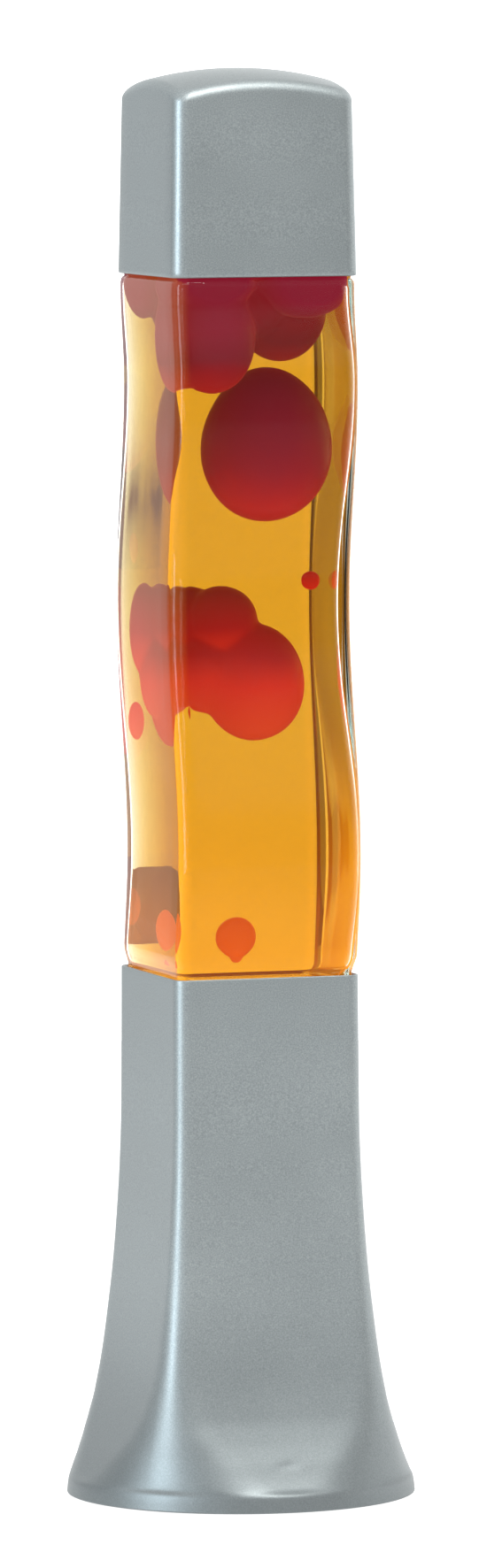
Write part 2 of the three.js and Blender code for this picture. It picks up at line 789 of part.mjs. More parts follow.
const stepHalf = bottleHalf - ledgeWidth;
const shoulderLowZ = stepTopZ - 3;
const wallLowZ = floorZ + cavityHeel;
const wallHighZ = ledgeZ - 3;
const walls = Array.from({ length: wallLevels + 1 }, (_, i) => {
  return THREE.MathUtils.lerp(wallLowZ, wallHighZ, i / wallLevels);
});

// The space inside the glass as rings from its floor to the neck, shrunk by an inset.
function cavityRings(inset) {
  const rings = [];
  rings.push(cavityRing(floorZ + inset, cavityHeel + inset));
  rings.push(cavityRing(floorZ + 0.3 * cavityHeel + inset, 0.3 * cavityHeel + inset));
  walls.forEach((z) => rings.push(cavityRing(z, inset)));
  const top = shoulderRings(stepHalf - glassWall, neckBore, shoulderLowZ, neckZ - 2, inset);
  return [...rings, ...top];
}

function bottleGlass() {
  const rings = [];
  rings.push(bodyRing(bottleZ, heelRound));
  rings.push(bodyRing(bottleZ + 0.3 * heelRound, 0.3 * heelRound));
  rings.push(bodyRing(bottleZ + heelRound));
  rings.push(bodyRing(baseTopZ));
  walls.forEach((z) => rings.push(bodyRing(z)));
  rings.push(squareRing(ledgeZ - 0.6, bottleHalf - 0.3, bottleCorner));
  rings.push(squareRing(ledgeZ, stepHalf, bottleCorner - 0.6));
  rings.push(...shoulderRings(stepHalf - 0.2, neckRadius, stepTopZ - 1.5, neckZ, 0));
  rings.push(roundRing(bottleTopZ - lipHeight, neckRadius));
  rings.push(roundRing(bottleTopZ - lipHeight + 0.8, lipRadius));
  rings.push(roundRing(bottleTopZ - 1, lipRadius));
  rings.push(roundRing(bottleTopZ, lipRadius - 1));
  const bore = cavityRings(0);
  bore.push(roundRing(bottleTopZ - 1, neckBore));
  bore.push(roundRing(bottleTopZ + overcut, neckBore + mouthFlare));
  return geometryOf(solid(skin(rings, false)).subtract(solid(skin(bore, false))));
}

// Rings that turn a rounded square into a circle along a quarter curve.
function shoulderRings(half, radius, low, high, inset) {
  const rings = [];
  const count = 3;
  for (let i = 0; i <= count; i++) {
    const angle = ((i / count) * Math.PI) / 2;
    const side = radius + (half - radius) * Math.cos(angle) - inset;
    const corner = THREE.MathUtils.lerp(bottleCorner - 0.6, side, Math.sin(angle));
    rings.push(squareRing(low + (high - low) * Math.sin(angle) - inset, side, corner));
  }
  return rings;
}

// ---------------------------------------------------------------- liquid and wax
const waxGap = touch; // liquid film between two lumps, and between a lump and the glass
const waxInset = 2 * touch; // from the glass to the wax
const ceilingZ = ledgeZ - waxCeiling;

function cavityBody(inset) {
  return solid(skin(cavityRings(inset), false));
}

// A solid between two levels.
function between(body, low, high) {
  return body.intersect(solid(box(4 * bottleHalf, 4 * bottleHalf, low, high)));
}

function lump({ x, y, half, tall }, z, grow = 0) {
  const ball = new THREE.SphereGeometry(1, lumpAround, lumpLevels).rotateX(Math.PI / 2);
  return solid(ball.scale(half + grow, half + grow, tall + grow).translate(x, y, z));
}

const lobeZ = (lobe) => ceilingZ + 5 - lobe.drop;
const globeZ = lobeZ(topLobes[1]) - topLobes[1].tall - 2 * waxGap - globe.tall;
const middleZ = floorZ + middleShare * columnHeight;
const beadZ = floorZ + beadShare * columnHeight;
const satelliteZ = floorZ + satelliteShare * columnHeight;
const dropZ = floorZ + dropShare * columnHeight;

// Wax gathered under the shoulder. The lobes hang from a layer that covers the whole width.
function topMass(grow = 0) {
  let mass = between(cavityBody(waxInset - 2 * grow), ceilingZ - grow, stepTopZ - 2);
  for (const lobe of topLobes) mass = mass.add(lump(lobe, lobeZ(lobe), grow));
  return mass;
}

function middleMass(grow = 0) {
  let mass = lump(middleLobes[0], middleZ, grow);
  for (const lobe of middleLobes.slice(1)) mass = mass.add(lump(lobe, middleZ + lobe.rise, grow));
  return mass;
}

// Wax that would reach the glass is flattened against it.
function withinGlass(body) {
  return geometryOf(largestPiece(body.intersect(cavityBody(waxInset))));
}

// A thin open thread from a lump straight to the glass, along X or Y.
function threadToGlass({ x, y }, z, alongX) {
  const rod = bar(threadOfWax, 0, 2 * bottleHalf, 6);
  if (alongX) return solid(rod.rotateY(Math.PI / 2).translate(x, y, z));
  return solid(rod.rotateX(-Math.PI / 2).translate(x, y, z));
}

function liquidBody() {
  let body = between(cavityBody(touch), bottleZ, ceilingZ + 1);
  body = body.subtract(topMass(waxGap));
  body = body.subtract(lump(globe, globeZ, waxGap));
  const thread = bar(threadOfWax, globeZ, ceilingZ, 6).translate(globe.x, globe.y, 0);
  body = body.subtract(solid(thread));
  body = body.subtract(middleMass(waxGap));
  body = body.subtract(threadToGlass(middleLobes[0], middleZ, false));
  body = body.subtract(lump(bead, beadZ, waxGap)).subtract(threadToGlass(bead, beadZ, true));
  body = body.subtract(lump(satellite, satelliteZ, waxGap));
  body = body.subtract(threadToGlass(satellite, satelliteZ, false));
  body = body.subtract(lump(risingDrop, dropZ, waxGap));
  body = body.subtract(threadToGlass(risingDrop, dropZ, false));
  return largestPiece(body);
}

// The biggest of a solid's separate pieces, without the slivers that a cut can leave.
function largestPiece(body) {
  const pieces = body.decompose();
  return pieces.reduce((a, b) => (a.volume() > b.volume() ? a : b));
}

// ---------------------------------------------------------------- crown closure
const crownTopZ = bottleTopZ + linerThickness + 2 * touch + crownSheet;

// The closure's outer or inner surface as rings from below the hem up to the flat top.
function crownRings(shrink, hemZ) {
  const points = 2 * crownFlutes;
  const ring = (z, radius, flute) => Array.from({ length: points }, (_, i) => {
    const angle = (2 * Math.PI * i) / points;
    const r = radius - shrink + flute * Math.cos(crownFlutes * angle);
    return new THREE.Vector3(r * Math.cos(angle), r * Math.sin(angle), z);
  });
  const topZ = crownTopZ - shrink;
  const topRadius = lipRadius + slideFit + crownSheet;
  return [
    ring(hemZ, topRadius + crownFlare, crownFluteDepth),
    ring(topZ - crownEdge, topRadius, 0),
    ring(topZ, topRadius - crownEdge, 0),
  ];
}

// A pressed steel closure: a flat top, a bevelled edge and a fluted skirt.
function crownCap() {
  const hemZ = crownTopZ - crownSkirt;
  const outside = solid(skin(crownRings(0, hemZ), false));
  const inside = solid(skin(crownRings(crownSheet, hemZ - crownSheet / 2), false));
  return geometryOf(outside.subtract(inside));
}

function crownLiner() {
  const low = bottleTopZ + touch;
  return pipe(0, lipRadius - linerGap, low, low + linerThickness, around);
}

// ---------------------------------------------------------------- cap
function domeZ(point, top, radius) {
  const r = Math.hypot(point.x, point.y);
  return top - radius + Math.sqrt(radius * radius - r * r);
}

// The cap's inner or outer surface as rings from its open end up to the crown of the dome.
function capRings(shrink) {
  const radius = capDomeRadius - shrink;
  const topZ = capTopZ - shrink;
  const corner = capCorner - shrink;
  const edge = capEdge - shrink;
  const sideTopHalf = capHalf - capDraft - shrink;
  const rings = [squareRing(capZ, capHalf - shrink, corner, capSteps)];
  const round = 3;
  for (let i = 0; i <= round; i++) {
    const angle = ((i / round) * Math.PI) / 2;
    const ring = squareRing(0, sideTopHalf - edge * (1 - Math.cos(angle)), corner, capSteps);
    ring.forEach((p) => (p.z = domeZ(p, topZ, radius) - edge * (1 - Math.sin(angle))));
    rings.push(ring);
  }
  for (const share of [0.7, 0.36, 0.1]) {
    const ring = squareRing(0, (sideTopHalf - edge) * share, corner * share, capSteps);
    ring.forEach((p) => (p.z = domeZ(p, topZ, radius)));
    rings.push(ring);
  }
  return rings;
}

function topCap() {
  return skin([...capRings(capWall).reverse(), ...capRings(0)], false);
}

// ---------------------------------------------------------------- the lamp
add("base_shell", "silver", baseShell());
add("base_plate", "steel", bottomPlate());
for (let i = 0; i < 4; i++) add(`rubber_foot_${i + 1}`, "rubber", rubberFoot(i));
for (const { name, turn } of tabPlaces) {
  add(`fixing_tab_${name}`, "steel", fixingTab(turn));
  const screw = plateScrew(screwCircle * Math.cos(turn), screwCircle * Math.sin(turn));
  add(`plate_screw_${name}`, "steel", screw);
}
add("cable_grommet", "rubber", cableGrommet());
add("bottle_seat", "steel", bottleSeat());

add("holder_bridge", "steel", holderBridge());
add("bridge_screw_left", "steel", plateScrew(-bridgeScrewX, 0));
add("bridge_screw_right", "steel", plateScrew(bridgeScrewX, 0));
add("holder_nipple", "brass", pipe(nippleBore, nippleRadius, nippleZ, nippleTopZ));
add("nipple_nut_lower", "brass", hexNut(bridgeTopZ - bridgeSheet - touch - nutHeight));
add("nipple_nut_upper", "brass", hexNut(cupFloorZ + touch));
add("holder_cup", "plastic", holderCup());
add("holder_sleeve", "plastic", holderSleeve());
add("holder_insert", "plastic", holderInsert());
add("side_contact", "brass", sideContact());
add("terminal_screw_live", "brass", terminalScrew(-1));
add("terminal_screw_neutral", "brass", terminalScrew(1));
add("centre_contact", "brass", centreContact());

add("bulb_envelope", "mirrored", bulbEnvelope());
add("bulb_screw_cap", "brass", bulbScrewCap());
add("bulb_insulator", "plastic", bulbInsulator());
add("bulb_tip", "tinned", bulbTip());
add("bulb_stem", "glass", bulbStem());
add("filament_lead_left", "tungsten", filamentLead(-1));
add("filament_lead_right", "tungsten", filamentLead(1));
add("filament", "tungsten", filament());

add("bottle_glass", "glass", bottleGlass());
add("liquid", "amber", geometryOf(liquidBody()));
add("wax_top_mass", "wax", withinGlass(topMass()));
add("wax_globe", "wax", withinGlass(lump(globe, globeZ)));
add("wax_middle_mass", "wax", withinGlass(middleMass()));
add("wax_bead", "wax", withinGlass(lump(bead, beadZ)));
add("wax_satellite", "wax", withinGlass(lump(satellite, satelliteZ)));
add("wax_rising_drop", "wax", withinGlass(lump(risingDrop, dropZ)));
add("crown_cap", "tinned", crownCap());
add("crown_liner", "liner", crownLiner());

add("top_cap", "silver", topCap());

export default lamp;
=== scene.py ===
# %% [markdown]
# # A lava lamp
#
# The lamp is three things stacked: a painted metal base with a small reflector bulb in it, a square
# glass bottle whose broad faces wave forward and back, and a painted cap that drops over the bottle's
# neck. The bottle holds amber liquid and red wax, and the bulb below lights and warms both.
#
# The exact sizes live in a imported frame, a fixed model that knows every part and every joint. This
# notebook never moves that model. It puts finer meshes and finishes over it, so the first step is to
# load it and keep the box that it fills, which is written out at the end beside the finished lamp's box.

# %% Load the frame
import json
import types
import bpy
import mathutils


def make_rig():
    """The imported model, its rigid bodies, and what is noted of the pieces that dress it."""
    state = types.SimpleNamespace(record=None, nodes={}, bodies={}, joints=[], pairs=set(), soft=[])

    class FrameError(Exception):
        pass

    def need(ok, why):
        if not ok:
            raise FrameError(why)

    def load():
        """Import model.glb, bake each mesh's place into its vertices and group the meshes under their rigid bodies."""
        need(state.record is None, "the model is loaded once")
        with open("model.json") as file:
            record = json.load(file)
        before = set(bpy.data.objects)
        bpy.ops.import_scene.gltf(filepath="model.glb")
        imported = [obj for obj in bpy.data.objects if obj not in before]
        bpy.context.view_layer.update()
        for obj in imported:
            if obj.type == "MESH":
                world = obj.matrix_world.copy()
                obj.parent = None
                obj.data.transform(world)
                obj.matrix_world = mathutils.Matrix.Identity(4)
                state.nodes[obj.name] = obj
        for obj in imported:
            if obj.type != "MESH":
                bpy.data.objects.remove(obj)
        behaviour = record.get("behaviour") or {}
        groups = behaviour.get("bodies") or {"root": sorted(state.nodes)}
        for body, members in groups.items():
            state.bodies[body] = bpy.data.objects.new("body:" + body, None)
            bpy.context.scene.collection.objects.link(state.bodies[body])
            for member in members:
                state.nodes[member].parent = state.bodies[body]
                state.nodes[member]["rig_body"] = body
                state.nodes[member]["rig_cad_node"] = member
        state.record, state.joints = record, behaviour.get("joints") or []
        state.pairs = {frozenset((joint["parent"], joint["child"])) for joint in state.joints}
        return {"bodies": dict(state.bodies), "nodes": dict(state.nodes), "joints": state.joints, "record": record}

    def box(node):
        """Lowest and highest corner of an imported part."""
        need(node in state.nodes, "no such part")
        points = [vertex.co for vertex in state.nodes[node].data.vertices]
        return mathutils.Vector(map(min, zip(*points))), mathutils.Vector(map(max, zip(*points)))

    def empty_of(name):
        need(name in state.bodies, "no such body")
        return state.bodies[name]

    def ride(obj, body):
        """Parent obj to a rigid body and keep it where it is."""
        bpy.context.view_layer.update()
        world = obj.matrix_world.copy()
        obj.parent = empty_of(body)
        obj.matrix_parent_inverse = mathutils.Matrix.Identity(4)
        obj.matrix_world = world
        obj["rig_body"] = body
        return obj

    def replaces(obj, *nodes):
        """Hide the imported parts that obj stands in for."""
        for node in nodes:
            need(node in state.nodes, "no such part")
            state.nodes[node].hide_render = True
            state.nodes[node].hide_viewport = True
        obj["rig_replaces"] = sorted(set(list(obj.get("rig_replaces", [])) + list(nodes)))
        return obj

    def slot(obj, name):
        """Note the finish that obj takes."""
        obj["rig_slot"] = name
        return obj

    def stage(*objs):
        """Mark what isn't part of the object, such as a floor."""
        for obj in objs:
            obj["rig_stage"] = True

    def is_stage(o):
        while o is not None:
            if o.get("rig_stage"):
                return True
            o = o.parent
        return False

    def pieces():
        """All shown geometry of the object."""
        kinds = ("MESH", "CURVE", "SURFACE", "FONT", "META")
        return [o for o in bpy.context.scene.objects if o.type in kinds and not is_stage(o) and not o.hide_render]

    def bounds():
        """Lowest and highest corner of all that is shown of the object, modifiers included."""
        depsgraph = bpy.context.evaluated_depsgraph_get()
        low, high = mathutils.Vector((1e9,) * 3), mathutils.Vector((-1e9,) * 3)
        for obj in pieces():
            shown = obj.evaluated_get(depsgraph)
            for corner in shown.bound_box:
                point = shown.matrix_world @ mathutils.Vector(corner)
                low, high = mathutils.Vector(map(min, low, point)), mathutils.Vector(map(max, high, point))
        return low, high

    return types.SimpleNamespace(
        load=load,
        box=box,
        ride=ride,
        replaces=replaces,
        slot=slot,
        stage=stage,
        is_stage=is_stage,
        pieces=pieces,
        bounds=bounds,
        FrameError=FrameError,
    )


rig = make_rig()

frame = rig.load()

import json
import math

import bpy
import numpy as np
from mathutils import Matrix, Vector

cad_box = [list(corner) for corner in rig.bounds()]
print("CAD box", cad_box)

# %% [markdown]
# ## The levels everything hangs on
#
# Heights could be typed in again, but then they could drift from the frame. Reading them from the
# boxes of the frame's own parts keeps the meshes below tied to it. Only what a box can't say, such as
# a wall thickness or a corner radius, is written here as a number, in millimetres turned to metres.

# %% Levels and sizes
MM = 0.001
shell_low, shell_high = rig.box("base_shell")
glass_low, glass_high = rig.box("bottle_glass")
cap_low, cap_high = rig.box("top_cap")

rim_z = shell_low[2]
mouth_z = shell_high[2]
foot_radius = shell_high[0]
bottle_z = glass_low[2]
bottle_top_z = glass_high[2]
bottle_half = glass_high[0]
cap_z = cap_low[2]
cap_half = cap_high[0]
cap_gap = 0.6 * MM
ledge_z = cap_z - cap_gap
body_height = ledge_z - bottle_z

mouth_half = 27.3 * MM
mouth_corner = 4 * MM
shell_wall = 0.8 * MM
print("rim", rim_z, "mouth", mouth_z, "bottle", bottle_z, "to", bottle_top_z, "cap from", cap_z)

# %% [markdown]
# ## The camera
#
# A long lens from three metres off keeps the lamp's upright edges nearly parallel. The camera stands a
# little to the left of the front and slightly above the middle. A constraint could aim it, but a plain
# rotation matrix is easier to read back and lets the camera's very small roll be one number.

# %% Camera
view_turn = math.radians(-18.4)
view_rise = math.radians(4.43)
view_distance = 3.25
view_roll = math.radians(0.19)
focal_length = 264
far_end = 60
aim = Vector((0.3 * MM, 0.1 * MM, 202.6 * MM))

away = Vector((
    math.sin(view_turn) * math.cos(view_rise),
    -math.cos(view_turn) * math.cos(view_rise),
    math.sin(view_rise),
))
lens = bpy.data.cameras.new("camera")
lens.lens = focal_length
lens.clip_end = far_end
camera = bpy.data.objects.new("camera", lens)
bpy.context.scene.collection.objects.link(camera)
camera.matrix_world = (
    Matrix.Translation(aim + view_distance * away)
    @ away.to_track_quat("Z", "Y").to_matrix().to_4x4()
    @ Matrix.Rotation(-view_roll, 4, "Z")
)
bpy.context.scene.camera = camera
print("camera at", tuple(round(v, 3) for v in camera.matrix_world.translation))

# %% [markdown]
# ## Rings and skins
#
# Base, bottle and cap are all squares with rounded corners that change as they rise. Each could start
# from a cube with bevels and a lattice, but the change from square to round in the foot is easier to
# state as a rule: at this height, this half width and this corner radius. So the shapes here are
# stacks of rings, and one helper skins a stack into quads, which also take smooth shading well.

# %% Helpers for rings and skins
def smooth_between(places, values):
    """A curve through the given points that never swings past them (monotone cubic)."""
    x, y = np.array(places, float), np.array(values, float)
    step, rise = np.diff(x), np.diff(y)
    slope = rise / step
    tangent = np.zeros_like(y)
    for i in range(1, len(y) - 1):
        if slope[i - 1] * slope[i] > 0:
            tangent[i] = 2 / (1 / slope[i - 1] + 1 / slope[i])
    tangent[0], tangent[-1] = slope[0], slope[-1]

    def at(place):
        place = min(max(place, x[0]), x[-1])
        i = min(int(np.searchsorted(x, place, "right")) - 1, len(step) - 1)
        t = (place - x[i]) / step[i]
        a = (1 + 2 * t) * (1 - t) ** 2
        b = t * (1 - t) ** 2 * step[i]
        c = t * t * (3 - 2 * t)
        d = t * t * (t - 1) * step[i]
        return float(a * y[i] + b * tangent[i] + c * y[i + 1] + d * tangent[i + 1])

    return at


def square_ring(z, front, corner, back=None, shift=0.0, corner_steps=8, flat_steps=8):
    """A rounded square seen from above, anticlockwise. Front and back may differ in half width."""
    back = front if back is None else back
    arcs = []
    for turn, (sx, sy) in enumerate([(1, 1), (-1, 1), (-1, -1), (1, -1)]):
        half = back if sy > 0 else front
        for s in range(corner_steps + 1):
            angle = (turn + s / corner_steps) * math.pi / 2
            x = sx * (half - corner) + corner * math.cos(angle)
            y = sy * (half - corner) + corner * math.sin(angle) + shift
            arcs.append(Vector((x, y, z)))
    ring = []
    for i, point in enumerate(arcs):
        ring.append(point)
        if i % (corner_steps + 1) == corner_steps:
            following = arcs[(i + 1) % len(arcs)]
            ring += [point.lerp(following, s / flat_steps) for s in range(1, flat_steps)]
    return ring


def skin(name, rings, ends=(True, True), loop=False):
    """A mesh over a stack of rings. An open stack is closed by a fan at each end that is asked for."""
    count = len(rings[0])
    points = [point for ring in rings for point in ring]
    faces = []
    for i in range(len(rings) if loop else len(rings) - 1):
        low, high = i * count, (i + 1) % len(rings) * count
        for j in range(count):
            k = (j + 1) % count
            faces.append((low + j, low + k, high + k, high + j))
    if not loop:
        for wanted, start, order in ((ends[0], 0, -1), (ends[1], (len(rings) - 1) * count, 1)):
            if wanted:
                ring = list(range(start, start + count))
                centre = sum((points[i] for i in ring), Vector()) / count
                points.append(centre)
                hub = len(points) - 1
                for j in range(count):
                    pair = (ring[j], ring[(j + 1) % count])
                    faces.append((hub, *pair[::order]))
    mesh = bpy.data.meshes.new(name)
    mesh.from_pydata(points, [], faces)
    mesh.update()
    mesh.shade_smooth()
    made = bpy.data.objects.new(name, mesh)
    bpy.context.scene.collection.objects.link(made)
    return made


def lathe_ring(radius, z, count=96):
    """A round ring."""
    angles = [2 * math.pi * i / count for i in range(count)]
    return [Vector((radius * math.cos(a), radius * math.sin(a), z)) for a in angles]


def wear(piece, body, slot, node, *finishes):
    """Ties a piece to the body it moves with, its slot, the part it stands for and its finishes."""
    for finish in finishes:
        piece.data.materials.append(finish)
    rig.ride(piece, body)
    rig.slot(piece, slot)
    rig.replaces(piece, node)
    print(piece.name, len(piece.data.vertices), "points, rides on", body)


# %% [markdown]
# ## Building finishes
#
# Every finish is a Principled shader with a few texture nodes in front of it. Writing each node and
# link by hand is long, so a small helper makes a node and sets its inputs in one call. Numbers that are
# the same all over a surface go straight on the shader; only what varies comes through nodes.
#
# A mix node has sockets for every kind of value, so the places of its colour ones are named here.

# %% Helpers for finishes
MIX_SHARE, MIX_FIRST, MIX_SECOND, MIX_RESULT = 0, 6, 7, 2
clear = (1, 1, 1, 1)


def add_node(tree, kind, inputs, settings):
    """A new node, with each input linked to a socket or set to a value."""
    made = tree.nodes.new(kind)
    for key, value in settings.items():
        setattr(made, key, value)
    for key, value in inputs.items():
        if isinstance(value, bpy.types.NodeSocket):
            tree.links.new(value, made.inputs[key])
        else:
            made.inputs[key].default_value = value
    return made


class Finish:
    """A material and its node tree, with short ways to add nodes to it."""

    def __init__(self, name, **constants):
        self.material = bpy.data.materials.new(name)
        self.material.use_nodes = True
        self.tree = self.material.node_tree
        self.shader = self.tree.nodes["Principled BSDF"]
        self.place = self.node("ShaderNodeTexCoord").outputs["Object"]
        for socket, value in constants.items():
            self.shader.inputs[socket.replace("_", " ")].default_value = value

    def node(self, kind, inputs=None, **settings):
        return add_node(self.tree, kind, inputs or {}, settings)

    def noise(self, scale, detail=3.0, stretch=(1, 1, 1)):
        spread = self.node("ShaderNodeMapping", {"Vector": self.place, "Scale": stretch})
        return self.node("ShaderNodeTexNoise", {
            "Vector": spread.outputs["Vector"], "Scale": scale, "Detail": detail,
        }).outputs["Fac"]

    def range(self, value, low, high, to_low, to_high):
        return self.node("ShaderNodeMapRange", {
            "Value": value, "From Min": low, "From Max": high, "To Min": to_low, "To Max": to_high,
        }).outputs["Result"]

    def ramp(self, value, stops):
        ramp = self.node("ShaderNodeValToRGB", {"Fac": value})
        elements = ramp.color_ramp.elements
        while len(elements) < len(stops):
            elements.new(0.5)
        for element, (place, colour) in zip(elements, stops):
            element.position = place
            element.color = (*colour, 1)
        return ramp.outputs["Color"]

    def mix(self, share, first, second):
        colours = {MIX_SHARE: share, MIX_FIRST: first, MIX_SECOND: second}
        return self.node("ShaderNodeMix", colours, data_type="RGBA").outputs[MIX_RESULT]

    def math(self, operation, *values, clamp=False):
        made = self.node("ShaderNodeMath", dict(enumerate(values)), operation=operation, use_clamp=clamp)
        return made.outputs["Value"]

    def axis(self, vector, name):
        return self.node("ShaderNodeSeparateXYZ", {"Vector": vector}).outputs[name]

    def bump(self, height, strength, distance):
        made = self.node("ShaderNodeBump", {"Height": height, "Strength": strength, "Distance": distance})
        self.feed("Normal", made.outputs["Normal"])

    def feed(self, socket, value):
        self.tree.links.new(value, self.shader.inputs[socket])

    def colour(self, pattern, dark, light, dark_at=0.3, light_at=0.7):
        self.feed("Base Color", self.ramp(pattern, [(dark_at, dark), (light_at, light)]))

    def roughen(self, pattern, smooth, rough):
        self.feed("Roughness", self.range(pattern, 0.3, 0.7, smooth, rough))

    def absorb(self, colour, density):
        dye = self.node("ShaderNodeVolumeAbsorption", {"Color": (*colour, 1), "Density": density})
        self.tree.links.new(dye.outputs["Volume"], self.tree.nodes["Material Output"].inputs["Volume"])


# %% [markdown]
# ## Silver paint
#
# Base and cap wear a sprayed silver paint: fine aluminium flake in a satin lacquer. A mirror-like
# metal would be too sharp, and plain grey plastic would lack the soft glow on the curves. So the shader
# is partly metallic and fairly rough, and two noises do the rest: a very fine one for the flake, which
# changes both colour and relief, and a broad faint one for the uneven thickness of the spray. The flared
# foot is darker towards the table: this is painted shade, mixed into the colour by height.

# %% Silver paint
# Painted shade: below this height a dark colour is mixed into the paint, most strongly at the table.
foot_shade_top = 60 * MM
foot_shade_colour = (0.10, 0.115, 0.12, 1)


def silver_paint():
    paint = Finish("silver_paint", Metallic=0.75, IOR=1.5)
    flake = paint.noise(2600, 2.0)
    cloud = paint.noise(28, 3.0)
    mixed = paint.math("ADD", paint.math("MULTIPLY", flake, 0.8), paint.math("MULTIPLY", cloud, 0.2))
    sprayed = paint.ramp(mixed, [
        (0.30, (0.262, 0.292, 0.298)),
        (0.50, (0.328, 0.362, 0.368)),
        (0.70, (0.408, 0.442, 0.446)),
    ])
    # Painted shade: the share of the dark colour grows towards the foot.
    foot_shade_share = paint.range(paint.axis(paint.place, "Z"), 0.0, foot_shade_top, 0.62, 0.12)
    paint.feed("Base Color", paint.mix(foot_shade_share, sprayed, foot_shade_colour))
    paint.roughen(cloud, 0.42, 0.49)
    paint.bump(flake, 0.10, 0.05 * MM)
    return paint.material


silver = silver_paint()
print("finish", silver.name)

# %% [markdown]
# ## The base shell
#
# One sheet of metal is square where the bottle stands in it and round where it meets the table. Its
# four faces are shallow scoops, and its corners widen downwards into cones until they meet and the
# section is a circle. A few stations say how far the flat has moved out and how round the section is at
# a share of the height; a monotone curve runs between them, because an ordinary spline would ripple.
#
# The rings use points at fixed directions from the middle rather than a fixed number of points on the
# corner. At the foot the corner is the whole quarter, and points tied to the corner would bunch up on
# the flats that are left.

# %% Base shell profile
flare_shares = [0, 0.030, 0.042, 0.091, 0.131, 0.172, 0.250, 0.347, 0.434, 0.535, 0.636, 0.737, 1]
flare_spread = [1, 0.971, 0.873, 0.665, 0.520, 0.403, 0.267, 0.176, 0.113, 0.063, 0.027, 0.009, 0]
flare_round = [1, 1, 0.866, 0.653, 0.466, 0.320, 0.161, 0.096, 0.058, 0.032, 0.013, 0.004, 0]
spread_at = smooth_between(flare_shares, flare_spread)
round_at = smooth_between(flare_shares, flare_round)
tightest_corner = 0.3 * MM


def base_section(z):
    """The shell's outside half width and corner radius at a height."""
    share = (z - rim_z) / (mouth_z - rim_z)
    half = mouth_half + (foot_radius - mouth_half) * spread_at(share)
    corner = mouth_corner + (half - mouth_corner) * round_at(share)
    return half, corner


def directions():
    """Directions round the shell, close together where the corners are tight."""
    corner_low, corner_high = math.radians(39), math.radians(51)
    quarter = list(np.linspace(0, corner_low, 13)[:-1])
    quarter += list(np.linspace(corner_low, corner_high, 13)[:-1])
    quarter += list(np.linspace(corner_high, math.pi / 2, 13)[:-1])
    return [angle + turn * math.pi / 2 for turn in range(4) for angle in quarter]


def reach(half, corner, angle):
    """How far a rounded square's outline is from its middle, in one direction."""
    x, y = abs(math.cos(angle)), abs(math.sin(angle))
    centre = half - corner
    flat = half / max(x, y)
    if min(x, y) * flat <= centre:
        return flat
    along = centre * (x + y)
    return along + math.sqrt(max(along ** 2 - 2 * centre ** 2 + corner ** 2, 0))


def base_ring(z, inset, drop=0.0):
    half, corner = base_section(z)
    ring = []
    for angle in directions():
        r = reach(half - inset, max(corner - inset, tightest_corner), angle)
        ring.append(Vector((r * math.cos(angle), r * math.sin(angle), z + drop)))
    return ring


# %% Base shell mesh
weld_mark_height = 12.5 * MM
weld_mark_radius = 1.3 * MM
weld_mark_depth = 0.32 * MM
front_wall_y = -30 * MM
outer_rings, inner_rings = 150, 70
closer_below = 1.35


def build_base_shell():
    edge = 0.35 * MM
    dense = np.linspace(0, 1, outer_rings) ** closer_below
    outside = []
    for z in rim_z + edge + dense * (mouth_z - 2 * edge - rim_z):
        outside.append(base_ring(float(z), 0))
    lip = [base_ring(mouth_z - edge, edge * (1 - math.cos(a)), edge * math.sin(a))
           for a in np.linspace(0.4, math.pi / 2, 4)]
    inner = [base_ring(float(z), shell_wall)
             for z in np.linspace(mouth_z - 0.2 * MM, rim_z + edge, inner_rings)]
    foot = [base_ring(rim_z + edge, shell_wall - edge * (1 - math.cos(a)), -edge * math.sin(a))
            for a in np.linspace(0.4, math.pi / 2, 3)]
    foot += [base_ring(rim_z + edge, edge * (1 - math.sin(a)), -edge * math.cos(a))
             for a in np.linspace(0.1, 1.2, 3)]
    shell = skin("painted_base_shell", outside + lip + inner + foot, loop=True)
    mark_z = rim_z + weld_mark_height
    for point in shell.data.vertices:
        if point.co.y < front_wall_y:
            away_from_mark = math.hypot(point.co.x, point.co.z - mark_z)
            if away_from_mark < 2 * weld_mark_radius:
                fall = math.exp(-(away_from_mark / weld_mark_radius) ** 2 * 2)
                point.co.y += weld_mark_depth * fall
    return shell


wear(build_base_shell(), "base", "silver_paint", "base_shell", silver)

# %% [markdown]
# ## The cap
#
# The cap is a drawn box without a bottom: nearly upright sides, a small soft edge, and a top that is
# part of a large ball. It could be a cube with a bevel, but a bevel is equal all round, and here the edge
# follows the dome, high in the middle of each side and low at the corners. Each ring above the edge is
# a smaller square laid on the ball.

# %% Cap mesh
cap_draft = 0.9 * MM
cap_corner = 4.2 * MM
cap_wall = 0.9 * MM
cap_hem = 0.3 * MM
cap_edge = 2.6 * MM
dome_radius = 99 * MM
dome_top_z = cap_high[2] + 0.2 * MM


def dome(point, radius, top):
    return top - radius + math.sqrt(radius ** 2 - point.x ** 2 - point.y ** 2)


